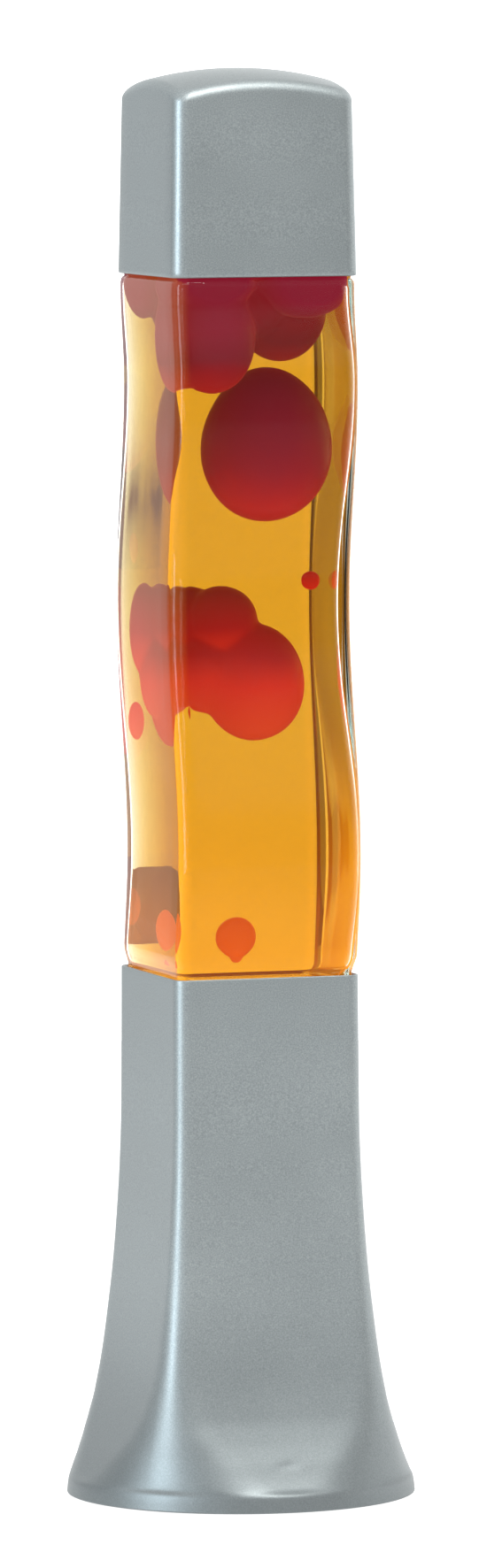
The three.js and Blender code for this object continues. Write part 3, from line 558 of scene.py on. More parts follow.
def cap_surface(shrink):
    """Rings from the open end up to the middle of the dome, inside or outside."""
    radius, top = dome_radius - shrink, dome_top_z - shrink
    corner, edge = cap_corner - shrink, cap_edge - shrink
    top_half = cap_half - cap_draft - shrink
    rings = []
    low = square_ring(cap_z + cap_hem, cap_half - shrink, corner)
    high = [p.copy() for p in square_ring(0, top_half, corner)]
    for p in high:
        p.z = dome(p, radius, top) - edge
    for s in np.linspace(0, 1, 40):
        rings.append([a.lerp(b, float(s)) for a, b in zip(low, high)])
    for angle in np.linspace(0, math.pi / 2, 9)[1:]:
        ring = square_ring(0, top_half - edge * (1 - math.cos(angle)), corner)
        for p in ring:
            p.z = dome(p, radius, top) - edge * (1 - math.sin(angle))
        rings.append(ring)
    side = top_half - edge
    for share in np.linspace(0.96, 0.04, 24):
        ring = square_ring(0, side * float(share), corner * float(share))
        for p in ring:
            p.z = dome(p, radius, top)
        rings.append(ring)
    return rings


def build_cap():
    inner = cap_surface(cap_wall)[::-1]
    outer = cap_surface(0)
    middle = [a.lerp(b, 0.5) for a, b in zip(inner[-1], outer[0])]
    for p in middle:
        p.z = cap_z
    return skin("painted_top_cap", inner + [middle] + outer)


wear(build_cap(), "cap", "silver_paint", "top_cap", silver)

# %% [markdown]
# ## Clear glass
#
# Thick bottle glass is clear with a faint grey green tint that only shows where there is a lot of it,
# at the edges. A tint in the surface colour would be the same everywhere, so the tint is in the volume:
# light loses a little more red and blue than green for each millimetre it travels. Pressed glass is also
# never quite flat, so a slow, faint ripple bends the reflections.
#
# The ray tracer treats every surface as if it bordered on air. Where liquid wets the glass that would
# mirror the room a second and a third time and lay a milky veil over the amber. A specular tint scales
# the reflection at a right angle and leaves the bending of light alone, so the wetted inside of the glass
# and the skin of the liquid get a nearly black one. The outside of the glass keeps part of its mirroring.

# %% Clear glass
def bottle_glass_finish(name, mirrored):
    """Clear glass that keeps a given share of its mirroring."""
    glass = Finish(name, Transmission_Weight=1.0, IOR=1.5, Base_Color=clear,
                   Specular_Tint=(mirrored, mirrored, mirrored, 1))
    smear = glass.noise(60, 2.0, stretch=(1, 1, 0.25))
    glass.feed("Roughness", glass.range(smear, 0.35, 0.75, 0.0, 0.02))
    glass.bump(glass.noise(30, 1.0, stretch=(1.6, 1.6, 0.5)), 0.25, 0.25 * MM)
    glass.absorb((0.55, 0.72, 0.62), 18.0)
    return glass.material


wetted_mirroring = 0.02
clear_glass = bottle_glass_finish("bottle_glass", 0.3)
wetted_glass = bottle_glass_finish("bottle_glass_wetted", wetted_mirroring)
print("finishes", clear_glass.name, wetted_glass.name)

# %% [markdown]
# ## The bottle
#
# Seen from the side the whole body swings forward and back like a ribbon, while its width stays the
# same. The glass is thinner where a face bulges and thicker where it dips, as blown glass is, and that
# uneven wall is what bends the edges of the liquid. The wave is stated by its turning points only, and a
# cosine eases from each to the next, so it has no kinks.
#
# The inside is a second surface, so the bottle is a real hollow wall. A solid block would show the
# liquid's edge in the wrong place.

# %% Bottle shape
wave_shares = [0, 0.198, 0.545, 0.856, 0.985, 1.2]
wave_depths = [0, 4.3 * MM, -4.9 * MM, 2.85 * MM, 0, 0]
bottle_corner = 4.2 * MM
glass_wall = 2.4 * MM
glass_swing = 1.0 * MM
glass_floor = 4.4 * MM
seat_slack = 0.4 * MM
widening = 6 * MM
floor_z = bottle_z + glass_floor


def lean(z):
    """How far the body swings to the front at a height."""
    share = min(max((z - bottle_z) / body_height, 0), 1)
    i = max(k for k, place in enumerate(wave_shares[:-1]) if place <= share)
    t = (share - wave_shares[i]) / (wave_shares[i + 1] - wave_shares[i])
    ease = (1 - math.cos(math.pi * t)) / 2
    return wave_depths[i] + (wave_depths[i + 1] - wave_depths[i]) * ease


fit_half = mouth_half - shell_wall - seat_slack - abs(lean(mouth_z))


def body_half(z):
    """Half the body's width, which grows just above the base's mouth."""
    t = min(max((z - mouth_z) / widening, 0), 1)
    return fit_half + (bottle_half - fit_half) * t * t * (3 - 2 * t)


def thinning(z):
    """How much glass the front loses and the back gains at a height."""
    return glass_swing * lean(z) / max(abs(d) for d in wave_depths)


def outer_ring(z, inset=0.0):
    return square_ring(z, body_half(z) - inset, bottle_corner, shift=-lean(z))


def inner_ring(z, inset=0.0):
    front = body_half(z) - glass_wall + thinning(z) - inset
    back = body_half(z) - glass_wall - thinning(z) - inset
    corner = max(bottle_corner - 0.4 * glass_wall - inset, 0.6 * MM)
    return square_ring(z, front, corner, back=back, shift=-lean(z))


print("turning points of the wave", [round(depth / MM, 1) for depth in wave_depths], "mm")


# %% Bottle mesh
step_top_z = cap_z + 5.7 * MM
fill_z = step_top_z - 1.6 * MM
neck_z = step_top_z + 13 * MM
neck_radius = 12 * MM
neck_bore = 8 * MM
lip_radius = 13.2 * MM
lip_height = 6 * MM
lip_edge = 1.2 * MM
heel_round = 2.4 * MM
cavity_heel = 5 * MM
step_half = bottle_half - 1 * MM
step_corner = 3.6 * MM
outer_steps, inner_steps = 140, 130


def shoulder(half, radius, low, high, inset=0.0):
    """Rings that turn the square body into the round neck along a quarter curve."""
    rings = []
    for angle in np.linspace(0, math.pi / 2, 12):
        side = radius + (half - radius) * math.cos(angle) - inset
        corner = min(step_corner + (side - step_corner) * math.sin(angle), side * 0.999)
        rings.append(square_ring(low + (high - low) * math.sin(angle) - inset, side, corner))
    return rings


def heel(ring_at, low, size, inset=0.0):
    """A rounded bottom edge: rings that widen along a quarter circle, starting in the middle."""
    rings = []
    full = size * 1.02
    for share in (0.05, 0.35, 0.7, 0.9):
        rings.append([Vector((p.x * share, p.y * share, low)) for p in ring_at(low, full + inset)])
    for angle in np.linspace(0, math.pi / 2, 8):
        rings.append(ring_at(low + size * (1 - math.cos(angle)), size * (1 - math.sin(angle)) + inset))
    return rings


def cavity_rings(inset=0.0):
    """The inside of the glass from its floor to the neck, shrunk by an inset."""
    rings = heel(inner_ring, floor_z + inset, cavity_heel, inset)
    for z in np.linspace(floor_z + cavity_heel, ledge_z - 3 * MM, inner_steps)[1:]:
        rings.append(inner_ring(float(z), inset))
    return rings + shoulder(step_half - glass_wall, neck_bore, step_top_z - 3 * MM, neck_z - 2 * MM, inset)


def round_ring(z, radius):
    """A round ring with as many points as the square ones."""
    return square_ring(z, radius, radius * 0.999)


def build_bottle():
    rings = heel(outer_ring, bottle_z, heel_round)
    for z in np.linspace(bottle_z + heel_round, ledge_z - 2 * MM, outer_steps)[1:]:
        rings.append(outer_ring(float(z)))
    rings += [square_ring(ledge_z - 0.9 * MM, bottle_half - 0.15 * MM, bottle_corner),
              square_ring(ledge_z - 0.3 * MM, bottle_half - 0.5 * MM, bottle_corner),
              square_ring(ledge_z, step_half, step_corner)]
    rings += shoulder(step_half - 0.2 * MM, neck_radius, step_top_z - 1.5 * MM, neck_z)
    lip_z = bottle_top_z - lip_height
    for angle in np.linspace(0, math.pi, 7):
        bulge = (lip_radius - neck_radius) * (1 - math.cos(angle / 2))
        rings.append(round_ring(lip_z + lip_edge * angle / math.pi, neck_radius + bulge))
    for angle in np.linspace(0, math.pi / 2, 6):
        rings.append(round_ring(bottle_top_z - lip_edge * (1 - math.sin(angle)),
                                lip_radius - lip_edge * (1 - math.cos(angle))))
    for angle in np.linspace(0, math.pi / 2, 6):
        rings.append(round_ring(bottle_top_z - lip_edge * (1 - math.cos(angle)),
                                neck_bore + lip_edge * (1 - math.sin(angle))))
    made = skin("wavy_glass_bottle", rings + cavity_rings()[::-1])
    first_inside = len(rings) * len(rings[0])
    for face in made.data.polygons:
        face.material_index = int(min(face.vertices) >= first_inside and face.center.z < fill_z)
    return made


wear(build_bottle(), "bottle", "bottle_glass", "bottle_glass", clear_glass, wetted_glass)
thin_wall, thick_wall = glass_wall - glass_swing, glass_wall + glass_swing
print("wall at the front", round(thin_wall / MM, 1), "to", round(thick_wall / MM, 1), "mm")

# %% [markdown]
# ## Amber liquid
#
# The liquid is dyed, so it is pale where it is thin and deep amber where it is thick, which is why its
# edges fade. That is absorption in the volume, not a surface colour. It touches the glass with no air
# between, and two surfaces in exactly the same place would confuse the ray tracer. So the liquid's skin
# is pushed a twentieth of a millimetre into the glass, and light then passes from glass to liquid as it
# should.
#
# The lit liquid also glows a little: a faint orange emission on its skin, which is painted light standing in
# for the bulb's light scattered in it. It shows near the bulb only on the front and back, and stronger and all the way
# up on the left and right sides.

# %% Amber liquid
glass_overlap = 0.05 * MM
glow_drift = 0.10


def amber_finish():
    amber = Finish("amber_liquid", Transmission_Weight=1.0, IOR=1.36, Roughness=0.0, Base_Color=clear,
                   Specular_Tint=(wetted_mirroring, wetted_mirroring, wetted_mirroring, 1))
    amber.absorb((0.925, 0.715, 0.03), 90.0)
    share = amber.range(amber.axis(amber.place, "Z"), bottle_z, ledge_z, 0.0, 1.0)
    cloud = amber.math("SUBTRACT", amber.noise(45, 2.0, stretch=(1, 1, 0.4)), 0.5)
    drift = amber.math("MULTIPLY", cloud, glow_drift)
    # Painted light: emission near the bulb stands in for the bulb's light scattered in the liquid.
    front_glow = amber.ramp(amber.math("ADD", share, drift), [
        (0.03, (0.150, 0.030, 0.001)),
        (0.09, (0.130, 0.032, 0.002)),
        (0.20, (0.070, 0.014, 0.001)),
        (0.30, (0.030, 0.005, 0.000)),
        (0.42, (0.000, 0.000, 0.000)),
    ])
    # Painted light on the left and right faces: a stronger orange glow all the way up.
    sideways = amber.axis(amber.node("ShaderNodeNewGeometry").outputs["Normal"], "X")
    flank = amber.range(amber.math("ABSOLUTE", sideways), 0.3, 0.95, 0.0, 1.0)
    side_glow = amber.ramp(share, [
        (0.05, (0.340, 0.118, 0.002)),
        (0.25, (0.200, 0.070, 0.001)),
        (0.50, (0.130, 0.046, 0.001)),
    ])
    amber.feed("Emission Color", amber.mix(flank, front_glow, side_glow))
    amber.shader.inputs["Emission Strength"].default_value = 1.0
    return amber.material


def build_liquid():
    rings = [ring for ring in cavity_rings(-glass_overlap) if ring[0].z < fill_z]
    surface = [[Vector((p.x * share, p.y * share, fill_z)) for p in rings[-1]]
               for share in (1, 0.8, 0.4, 0.05)]
    return skin("amber_liquid_fill", rings + surface)


wear(build_liquid(), "bottle", "amber_liquid", "liquid", amber_finish())

# %% [markdown]
# ## Red wax
#
# Warm wax is soft, slightly see-through and lit from underneath. Real scattering would look right but
# takes many samples through two layers of glass and liquid. So the light is part of the finish: the
# glow depends on which way the surface faces, bright red orange below and dark crimson on top, and on
# how near the bulb it is. The surface normal and the height are both fixed to the wax, so the effect
# stays in place from every side. A pale rim from the Layer Weight node gives the thin, lit edge.

# %% Red wax
crimson = (0.150, 0.007, 0.030)
deep_red = (0.215, 0.007, 0.022)
red = (0.430, 0.012, 0.020)
bright_red = (0.760, 0.032, 0.022)
orange_red = (0.900, 0.085, 0.045)
orange = (0.950, 0.170, 0.020)
lit_edge = (0.50, 0.12, 0.07, 1)
unlit_core = (0.02, 0.0, 0.0, 1)
unlit_share = 0.75


def wax_finish(name, low_z, high_z, stops):
    """A lump's glow from its shaded top to its lit underside, as (share of the way down, colour) stops."""
    wax = Finish(name, IOR=1.40, Specular_IOR_Level=0.15, Roughness=0.42, Emission_Strength=1.0)
    facing = wax.axis(wax.node("ShaderNodeNewGeometry").outputs["Normal"], "Z")
    below = wax.range(facing, 1.0, -1.0, 0.0, 1.0)
    depth = wax.range(wax.axis(wax.place, "Z"), high_z, low_z, 0.0, 1.0)
    mottle = wax.math("MULTIPLY", wax.math("SUBTRACT", wax.noise(55, 3.0), 0.5), 0.16)
    lit = wax.math("ADD", wax.math("MULTIPLY", below, 0.35), wax.math("MULTIPLY", depth, 0.65))
    colour = wax.ramp(wax.math("ADD", lit, mottle, clamp=True), stops)
    edge = wax.node("ShaderNodeLayerWeight", {"Blend": 0.25}).outputs["Facing"]
    edge = wax.math("MULTIPLY", wax.math("POWER", edge, 3.0), 0.35)
    wax.feed("Emission Color", wax.mix(edge, colour, lit_edge))
    wax.feed("Base Color", wax.mix(unlit_share, colour, unlit_core))
    return wax.material


# %% [markdown]
# ## Wax shapes
#
# Lumps of wax melt into each other with smooth necks. Metaballs do that, but they are awkward to
# steer, since each one changes its neighbours. Here each mass is a few stretched balls joined by voxel
# remeshing, which gives one even skin, and then smoothed, which turns the creases between balls into
# necks. A lump on its own is a sphere with a gentle wobble, because still drops are never quite round.

# %% Wax meshes
def ball(centre, half, tall, wobble, seed):
    """Points and faces of a stretched ball, with a slow wobble of its radius."""
    across, down = 48, 32

    def on_skin(polar, around):
        n = Vector((math.sin(polar) * math.cos(around), math.sin(polar) * math.sin(around), math.cos(polar)))
        wave = math.sin(3 * n.x + 2.1 * n.z + seed) + math.sin(2.4 * n.y - 2.8 * n.z + 2 * seed)
        swell = 1 + wobble * wave / 2
        return Vector((n.x * half, n.y * half, n.z * tall)) * swell + Vector(centre)

    points = [on_skin(math.pi * i / down, 2 * math.pi * j / across)
              for i in range(1, down) for j in range(across)]
    points += [on_skin(0, 0), on_skin(math.pi, 0)]
    faces = []
    top, bottom = len(points) - 2, len(points) - 1
    last = (down - 2) * across
    for j in range(across):
        k = (j + 1) % across
        faces.append((top, j, k))
        faces.append((bottom, last + k, last + j))
        for i in range(down - 2):
            a, b = i * across, (i + 1) * across
            faces.append((a + j, b + j, b + k, a + k))
    return points, faces


def lump_of(name, balls, bound, voxel=None, rounds=0):
    """Joins balls into one skin that bound keeps inside. With a voxel size they melt together."""
    points, faces = [], []
    for one_points, one_faces in balls:
        offset = len(points)
        points += one_points
        faces += [tuple(i + offset for i in face) for face in one_faces]
    mesh = bpy.data.meshes.new(name)
    mesh.from_pydata(points, [], faces)
    made = bpy.data.objects.new(name, mesh)
    bpy.context.scene.collection.objects.link(made)
    if voxel:
        remesh = made.modifiers.new("melt", "REMESH")
        remesh.mode = "VOXEL"
        remesh.voxel_size = voxel
        smooth = made.modifiers.new("necks", "SMOOTH")
        smooth.iterations = rounds
        smooth.factor = 0.5
        evaluated = made.evaluated_get(bpy.context.evaluated_depsgraph_get())
        melted = bpy.data.meshes.new_from_object(evaluated)
        made.modifiers.clear()
        made.data = melted
    for point in made.data.vertices:
        point.co = bound(point.co)
    made.data.shade_smooth()
    return made


wax_gap = 0.5 * MM


def keep_inside(point):
    """Wax that would reach the glass flattens softly against it."""
    side = body_half(point.z) - glass_wall - wax_gap
    front = -(side + thinning(point.z)) - lean(point.z)
    back = side - thinning(point.z) - lean(point.z)
    x = max(-side, min(side, point.x))
    return Vector((x, max(front, min(back, point.y)), point.z))


lobe_wobble = 0.02


def melted_mass(name, lobes, base_z, seed_step, bound, voxel, rounds):
    """Lobes given in millimetres as (place above base_z, half width, half height), melted together."""
    balls = []
    for i, (place, half, tall) in enumerate(lobes):
        centre = Vector((place[0] * MM, place[1] * MM, base_z + place[2] * MM))
        balls.append(ball(centre, half * MM, tall * MM, lobe_wobble, seed_step * i))
    return lump_of(name, balls, bound, voxel, rounds)


# %% The large globe, the bead, the satellite and the rising drop
def single(name, node, body, wobble, seed, stops):
    """One loose lump, the size of its part in the frame."""
    low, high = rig.box(node)
    centre = [(a + b) / 2 for a, b in zip(low, high)]
    half = (high[0] - low[0]) / 2 * 1.01
    tall = (high[2] - low[2]) / 2
    piece = lump_of(name, [ball(centre, half, tall, wobble, seed)], keep_inside)
    wear(piece, body, "red_wax", node, wax_finish(name + "_finish", low[2], high[2], stops))


single("soft_wax_globe", "wax_globe", "globe", 0.012, 0.4,
       [(0.10, crimson), (0.45, deep_red), (0.65, (0.28, 0.008, 0.020)), (0.92, (0.50, 0.016, 0.018))])
single("soft_wax_bead", "wax_bead", "bead", 0.03, 1.7, [(0.1, (0.50, 0.022, 0.018)), (0.9, bright_red)])
single("soft_wax_satellite", "wax_satellite", "satellite", 0.04, 2.2, [(0.1, bright_red), (0.9, orange_red)])
single("soft_wax_rising_drop", "wax_rising_drop", "rising_drop", 0.03, 3.1,
       [(0.1, (0.93, 0.15, 0.020)), (0.9, orange)])

# %% The middle mass
middle_low, middle_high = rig.box("wax_middle_mass")
middle_z = middle_low[2] + 17.4 * MM


def build_middle_mass():
    lobes = [
        ((4, 8.1, 0), 15, 17.4),
        ((-5.2, 8, 18.5), 10.5, 10.6),
        ((-12.8, 15.4, 15.5), 10.4, 13.4),
        ((-10, 9, 3), 10, 12),
    ]
    return melted_mass("soft_wax_middle_mass", lobes, middle_z, 1, keep_inside, voxel=0.9 * MM, rounds=12)


middle_finish = wax_finish("middle_wax_finish", middle_low[2], middle_high[2], [
    (0.08, (0.27, 0.020, 0.022)), (0.38, red), (0.60, bright_red), (0.92, orange_red),
])
wear(build_middle_mass(), "middle_wax", "red_wax", "wax_middle_mass", middle_finish)

# %% The top mass
top_low, top_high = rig.box("wax_top_mass")
lobes_z = ledge_z - 8 * MM
surface_z = fill_z - 0.4 * MM


def build_top_mass():
    lobes = [
        ((-13.1, -12.3, -8.2), 12.6, 16),
        ((10.4, 3.5, -2.2), 14, 15),
        ((0, 0, 0), 15, 11),
        ((14, 14, 9), 14, 13),
        ((-14, 14, 9), 14, 13),
        ((14, -14, 9), 14, 13),
        ((-14, -14, 10), 14, 12),
        ((0, 0, 11), 22, 9),
    ]

    def inside(point):
        kept = keep_inside(point)
        return Vector((kept.x, kept.y, min(kept.z, surface_z)))

    return melted_mass("soft_wax_top_mass", lobes, lobes_z, 1.3, inside, voxel=1.0 * MM, rounds=10)


top_finish = wax_finish("top_wax_finish", top_low[2], top_high[2], [
    (0.10, deep_red), (0.50, (0.24, 0.009, 0.026)),
    (0.72, (0.20, 0.008, 0.022)), (0.95, (0.40, 0.014, 0.020)),
])
wear(build_top_mass(), "bottle", "red_wax", "wax_top_mass", top_finish)

# %% [markdown]
# ## The crown closure
#
# Under the cap the bottle is shut like a drinks bottle: a pressed tin disc whose skirt is crimped into
# flutes. A gear-like curve round each ring makes the flutes, deeper towards the open edge. It is only
# seen when the cap is off, but it is a separate piece, so it gets its own mesh and its own tin.

# %% Tinplate and the crown closure
def tinplate_finish():
    tin = Finish("tinplate", Metallic=1.0)
    draw = tin.noise(900, 2.0)
    tin.colour(draw, (0.55, 0.54, 0.50), (0.72, 0.71, 0.67))
    tin.roughen(tin.noise(160, 3.0), 0.18, 0.32)
    tin.bump(draw, 0.06, 0.05 * MM)
    return tin.material


tinplate = tinplate_finish()
crown_low, crown_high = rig.box("crown_cap")
flutes = 21
steps_per_flute = 12
flute_depth = 0.5 * MM
crown_sheet = 0.3 * MM
crown_edge = 0.9 * MM
skirt_drop = 1.2 * MM
skirt_flare = 2 * MM


def fluted_ring(radius, z, depth):
    ring = []
    for i in range(flutes * steps_per_flute):
        angle = 2 * math.pi * i / (flutes * steps_per_flute)
        r = radius + depth * math.cos(flutes * angle)
        ring.append(Vector((r * math.cos(angle), r * math.sin(angle), z)))
    return ring


def build_crown():
    top_radius = lip_radius + 0.7 * MM
    height = crown_high[2] - crown_low[2]
    outer, inner = [], []
    for radius in (1 * MM, 5 * MM, 9 * MM, 12 * MM):
        outer.append(fluted_ring(radius, crown_high[2], 0))
        inner.append(fluted_ring(radius, crown_high[2] - crown_sheet, 0))
    for angle in np.linspace(0, math.pi / 2, 6)[1:]:
        drop = crown_edge * (1 - math.cos(angle))
        radius = top_radius - crown_edge * (1 - math.sin(angle))
        outer.append(fluted_ring(radius, crown_high[2] - drop, 0))
        inner.append(fluted_ring(radius - crown_sheet, crown_high[2] - drop - crown_sheet, 0))
    for t in np.linspace(0, 1, 14)[1:]:
        radius = top_radius + skirt_flare * t * t
        z = crown_high[2] - skirt_drop - (height - skirt_drop) * t
        outer.append(fluted_ring(radius, z, flute_depth * t))
        inner.append(fluted_ring(radius - crown_sheet, z, flute_depth * t))
    return skin("fluted_crown_closure", inner + outer[::-1])


wear(build_crown(), "bottle", "tinplate", "crown_cap", tinplate)

# %% [markdown]
# ## The bulb
#
# A reflector bulb is silvered inside from its neck to its widest point, so the back looks like a
# mirror, and its face is frosted, so the light comes out soft. The frame's bulb is right in size but
# cut coarsely, so a finer lathe of the same outline replaces it, with two finishes on one skin: the
# silvered bowl, and the face, which gives off the warm light.

# %% Bulb finishes
face_spread = 19 * MM
face_brightness = 5.0


def bulb_bowl_finish():
    bowl = Finish("silvered_bowl", Metallic=0.9)
    streak = bowl.noise(40, 3.0, stretch=(1, 1, 0.2))
    bowl.colour(streak, (0.62, 0.62, 0.61), (0.80, 0.80, 0.79))
    bowl.roughen(streak, 0.06, 0.14)
    return bowl.material


def bulb_face_finish():
    face = Finish("frosted_face")
    frost = face.noise(700, 2.0)
    face.colour(frost, (0.82, 0.80, 0.76), (0.92, 0.90, 0.86))
    face.roughen(frost, 0.45, 0.6)
    radius = face.node("ShaderNodeVectorMath", {0: face.place, 1: (1, 1, 0)}, operation="MULTIPLY").outputs[0]
    spread = face.node("ShaderNodeVectorMath", {0: radius}, operation="LENGTH").outputs["Value"]
    face.feed("Emission Color", face.ramp(face.range(spread, 0, face_spread, 0, 1), [
        (0.0, (1.0, 0.62, 0.26)), (0.6, (1.0, 0.52, 0.17)), (1.0, (0.75, 0.33, 0.08)),
    ]))
    face.shader.inputs["Emission Strength"].default_value = face_brightness
    return face.material


bowl_finish, face_finish = bulb_bowl_finish(), bulb_face_finish()
print("finishes", bowl_finish.name, face_finish.name)

# %% Bulb mesh
bulb_low, bulb_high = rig.box("bulb_envelope")
bulb_radius = bulb_high[0]
bulb_wall = 0.8 * MM
bulb_edge = 8.5 * MM
bowl_z = bulb_low[2] + 9 * MM
widest_z = bulb_high[2] - 12 * MM
frosted_from = bulb_high[2] - 11 * MM
face_inside_from = bulb_high[2] - 13 * MM


def bulb_outline():
    """Radius and height up the outside, from the open neck to the middle of the face."""
    neck = 5.4 * MM
    rows = [(neck, bulb_low[2]), (neck, bowl_z - 0.8 * MM), (neck + 0.7 * MM, bowl_z)]
    for t in np.linspace(0, 1, 24):
        radius = neck + 1.6 * MM + (bulb_radius - neck - 1.6 * MM) * math.sin(t * math.pi / 2) ** 0.85
        rows.append((radius, bowl_z + 0.6 * MM + t * (widest_z - bowl_z - 0.6 * MM)))
    for angle in np.linspace(0, math.pi / 2, 14)[1:]:
        rows.append((bulb_radius - bulb_edge * (1 - math.cos(angle)), widest_z + 9.6 * MM * math.sin(angle)))
    face_radius, rise = rows[-1][0], bulb_high[2] - rows[-1][1]
    for share in np.linspace(0.9, 0.05, 10):
        rows.append((face_radius * share, bulb_high[2] - rise * share ** 2))
    return rows


def build_bulb():
    rows = bulb_outline()
    outside = [lathe_ring(r, z) for r, z in rows]
    inside = [lathe_ring(max(r - bulb_wall, 0.3 * MM), z - (bulb_wall if z > face_inside_from else 0))
              for r, z in rows]
    made = skin("reflector_bulb_glass", outside + inside[::-1], ends=(False, False), loop=True)
    for face in made.data.polygons:
        face.material_index = int(face.center.z > frosted_from)
    return made


wear(build_bulb(), "bulb", "reflector_glass", "bulb_envelope", bowl_finish, face_finish)

# %% [markdown]
# ## Small metal, plastic and rubber parts
#
# The holder, the bridge, the plate and the screws have the right shapes already, so they stay as the
# frame has them and only take a finish. Each finish is a plain recipe: zinc-plated sheet has a fine
# directional grain, brass is warmer and smoother, moulded plastic has a slight pebble, and rubber is
# dark, rough and a little dusty.

# %% Finishes for the parts that stay
def sheet_steel_finish():
    steel = Finish("zinc_plated_sheet", Metallic=1.0)
    grain = steel.noise(700, 3.0, stretch=(1, 0.06, 1))
    spangle = steel.noise(120, 2.0)
    steel.colour(spangle, (0.42, 0.43, 0.44), (0.58, 0.59, 0.60), 0.35, 0.65)
    steel.roughen(grain, 0.28, 0.45)
    steel.bump(grain, 0.12, 0.04 * MM)
    return steel.material


def brass_finish():
    brass = Finish("turned_brass", Metallic=1.0)
    tarnish = brass.noise(90, 4.0)
    brass.colour(tarnish, (0.42, 0.27, 0.10), (0.68, 0.47, 0.20))
    brass.roughen(tarnish, 0.22, 0.38)
    brass.bump(brass.noise(1500, 1.0, stretch=(0.1, 0.1, 1)), 0.08, 0.03 * MM)
    return brass.material


def moulded_plastic_finish():
    plastic = Finish("black_moulding", IOR=1.5)
    pebble = plastic.noise(1400, 2.0)
    plastic.colour(plastic.noise(70, 2.0), (0.012, 0.012, 0.013), (0.022, 0.022, 0.024))
    plastic.roughen(pebble, 0.42, 0.58)
    plastic.bump(pebble, 0.2, 0.05 * MM)
    return plastic.material


def rubber_finish():
    rubber = Finish("soft_rubber", IOR=1.5, Sheen_Weight=0.15)
    dust = rubber.noise(260, 4.0)
    rubber.colour(dust, (0.012, 0.012, 0.012), (0.045, 0.043, 0.040), 0.35, 0.75)
    rubber.roughen(dust, 0.72, 0.9)
    rubber.bump(dust, 0.25, 0.05 * MM)
    return rubber.material


def liner_finish():
    liner = Finish("sealing_liner", IOR=1.45)
    cork = liner.noise(420, 4.0)
    liner.colour(cork, (0.50, 0.46, 0.38), (0.70, 0.67, 0.58))
    liner.roughen(cork, 0.6, 0.8)
    return liner.material


def lead_glass_finish():
    stem = Finish("stem_glass", Transmission_Weight=1.0, IOR=1.52)
    seeds = stem.noise(300, 2.0)
    stem.colour(seeds, (0.86, 0.90, 0.88), (0.94, 0.96, 0.95))
    stem.roughen(seeds, 0.02, 0.08)
    return stem.material


def tungsten_finish():
    wire = Finish("hot_wire", Metallic=1.0, Emission_Strength=2.0)
    pits = wire.noise(2000, 2.0)
    wire.colour(pits, (0.22, 0.21, 0.20), (0.36, 0.35, 0.34))
    wire.roughen(pits, 0.3, 0.5)
    wire.feed("Emission Color", wire.ramp(pits, [(0.3, (1.0, 0.42, 0.10)), (0.7, (1.0, 0.55, 0.18))]))
    return wire.material


# %% Put them on
finish_for_slot = {
    "plain_steel": sheet_steel_finish(),
    "brass": brass_finish(),
    "black_plastic": moulded_plastic_finish(),
    "rubber": rubber_finish(),
    "liner": liner_finish(),
    "clear_glass": lead_glass_finish(),
    "tungsten": tungsten_finish(),
    "tinplate": tinplate,
}
slot_of = {part["node"]: part["material_slot"] for part in frame["record"]["subparts"]}
kept = 0
for name, part in frame["nodes"].items():
    finish = finish_for_slot.get(slot_of[name])
    if finish is None or name == "crown_cap":
        continue
    part.data.materials.clear()
    part.data.materials.append(finish)
    kept += 1
print(kept, "parts of the frame keep their shape and take a finish")

# %% [markdown]
# ## Floor and light
#
# The lamp stands on a white table in a pale room. A lamp strong enough to whiten the table would flood
# the paint, so the table has a light of its own, which fades towards the front and the left, where the
# flared foot would mirror it.
#
# The wall behind the lamp is white, so that the liquid has something bright to show through it. The side
# in front is dimmer, because the flat glass mirrors it straight back, and a bright room there would turn
# the amber milky. The bright parts of the room fade at their edges and leave no hard shapes in the glass.
#
# Three soft boxes light the paint: a tall cool one on the left, which draws the line down the lamp's
# corner, one overhead for the cap and a weak one in front.

# %% Floor
floor_radius = 1.3
dimmer_in_front = (-0.60, -0.24)
dimmer_on_the_left = (-0.50, -0.18)
left_share = 0.25
fibre_depth = 0.04


def build_floor():
    rings = [lathe_ring(r, 0.0, 64) for r in (0.05, 0.2, 0.5, 0.9, floor_radius)]
    floor = skin("floor", rings, ends=(True, False))
    white = Finish("lit_table", Emission_Strength=0.98)
    fibre = white.math("MULTIPLY", white.noise(90, 4.0), fibre_depth)
    back = white.range(white.axis(white.place, "Y"), *dimmer_in_front, 0.0, 1.0)
    right = white.range(white.axis(white.place, "X"), *dimmer_on_the_left, left_share, 1.0)
    shade = white.math("SUBTRACT", white.math("MULTIPLY", back, right), fibre, clamp=True)
    white.feed("Base Color", white.ramp(shade, [(0.0, (0.48, 0.48, 0.48)), (1.0, (0.16, 0.16, 0.16))]))
    white.feed("Roughness", white.range(fibre, 0.0, fibre_depth, 0.85, 0.95))
    white.feed("Emission Color", white.ramp(shade, [(0.0, (0.0, 0.0, 0.0)), (0.9, (1.0, 1.0, 1.0))]))
    floor.data.materials.append(white.material)
    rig.stage(floor)
    print(floor.name, 2 * floor_radius, "m across")


build_floor()

# %% Room light
world = bpy.data.worlds.new("pale_room")
bpy.context.scene.world = world
world.use_nodes = True
room = world.node_tree
direction = room.nodes.new("ShaderNodeTexCoord").outputs["Generated"]


def room_node(kind, inputs, output, **settings):
    return add_node(room, kind, inputs, settings).outputs[output]


def toward_point(azimuth, rise):
    """A direction. Azimuth 0 is straight in front of the lamp, positive to the right."""
    a, e = math.radians(azimuth), math.radians(rise)
    return Vector((math.sin(a) * math.cos(e), -math.cos(a) * math.cos(e), math.sin(e)))


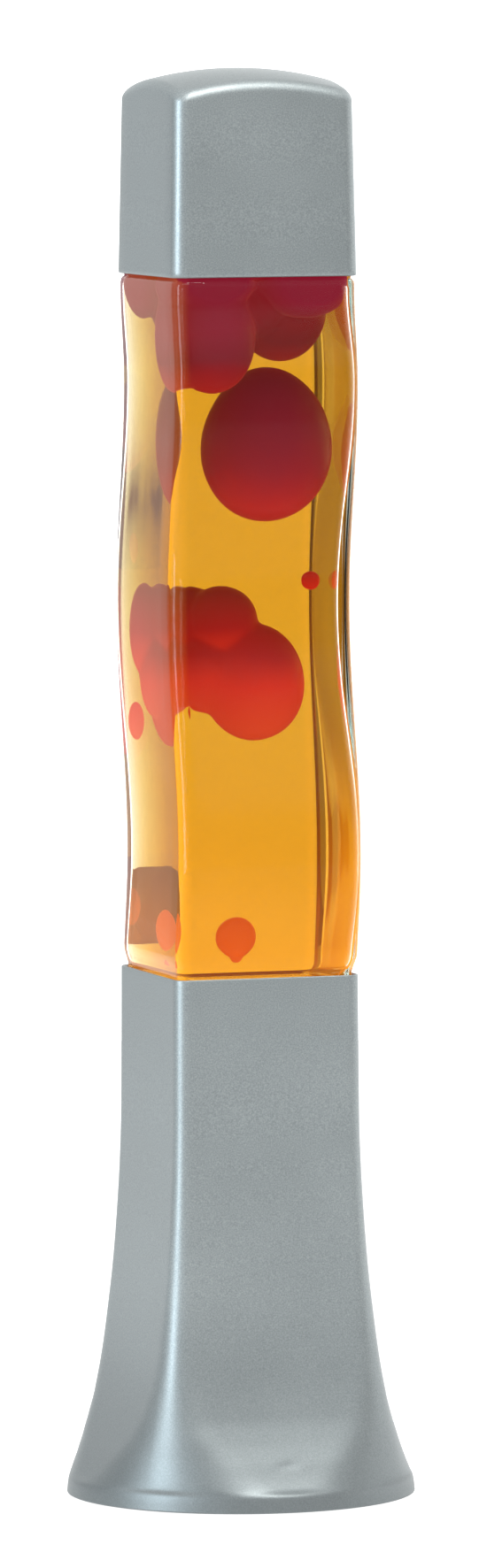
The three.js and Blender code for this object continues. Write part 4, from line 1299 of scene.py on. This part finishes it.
def glow(azimuth, rise, inner, outer, amount):
    """Light from round one direction, full within the inner angle and gone at the outer one."""
    nearness = room_node("ShaderNodeVectorMath", {0: direction, 1: toward_point(azimuth, rise)}, "Value",
                         operation="DOT_PRODUCT")
    gone, full = math.cos(math.radians(outer)), math.cos(math.radians(inner))
    return room_node("ShaderNodeMapRange", {
        "Value": nearness, "From Min": gone, "From Max": full, "To Min": 0.0, "To Max": amount,
    }, "Result", interpolation_type="SMOOTHSTEP")


def add(first, *others):
    """The sum of any number of sockets and values."""
    for other in others:
        first = room_node("ShaderNodeMath", {0: first, 1: other}, 0, operation="ADD")
    return first


dim_room = 0.50
strength = add(
    glow(157, -12, 26, 43, 1.38),  # the white wall behind
    glow(200, 14, 14, 20, 0.3),  # its left part, higher up
    glow(104, 5, 22, 50, 1.05),  # the wall on the right
    glow(20, 17, 3, 12, 0.6),  # a window in front, mirrored where the wave leans back
    glow(0, 90, 20, 80, 0.55),  # the ceiling
    dim_room,
)
background = room.nodes["Background"]
background.inputs["Color"].default_value = clear
room.links.new(strength, background.inputs["Strength"])
print("room light of", len(room.nodes), "nodes")

# %% Soft boxes
lamp_middle = Vector((0, 0, 0.22))


def soft_box(name, azimuth, rise, distance, size, power, colour):
    """A rectangular area light aimed at the lamp's middle."""
    data = bpy.data.lights.new(name, "AREA")
    data.shape = "RECTANGLE"
    data.size, data.size_y = size
    data.energy = power
    data.color = colour
    light = bpy.data.objects.new(name, data)
    bpy.context.scene.collection.objects.link(light)
    toward = toward_point(azimuth, rise)
    light.matrix_world = (
        Matrix.Translation(lamp_middle + distance * toward)
        @ toward.to_track_quat("Z", "Y").to_matrix().to_4x4()
    )


soft_box("left_window", azimuth=-74, rise=8, distance=2.2, size=(0.6, 1.8), power=38,
         colour=(0.80, 0.92, 1.0))
soft_box("overhead", azimuth=5, rise=62, distance=2.0, size=(0.9, 0.9), power=24,
         colour=(1.0, 1.0, 0.97))
soft_box("front_fill", azimuth=-8, rise=40, distance=2.4, size=(1.2, 0.6), power=7,
         colour=(1.0, 1.0, 1.0))
bpy.context.scene.view_settings.view_transform = "Standard"
print("lights", [o.name for o in bpy.data.objects if o.type == "LIGHT"])

# %% [markdown]
# ## Write down the sizes
#
# The last step writes down the box of the frame and the box of the finished lamp, so that anyone can
# compare them and see whether the finer meshes grew.

# %% Sizes and finish
json.dump({"cad": cad_box, "visual": [list(corner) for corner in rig.bounds()]}, open("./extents.json", "w"))
print(open("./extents.json").read())
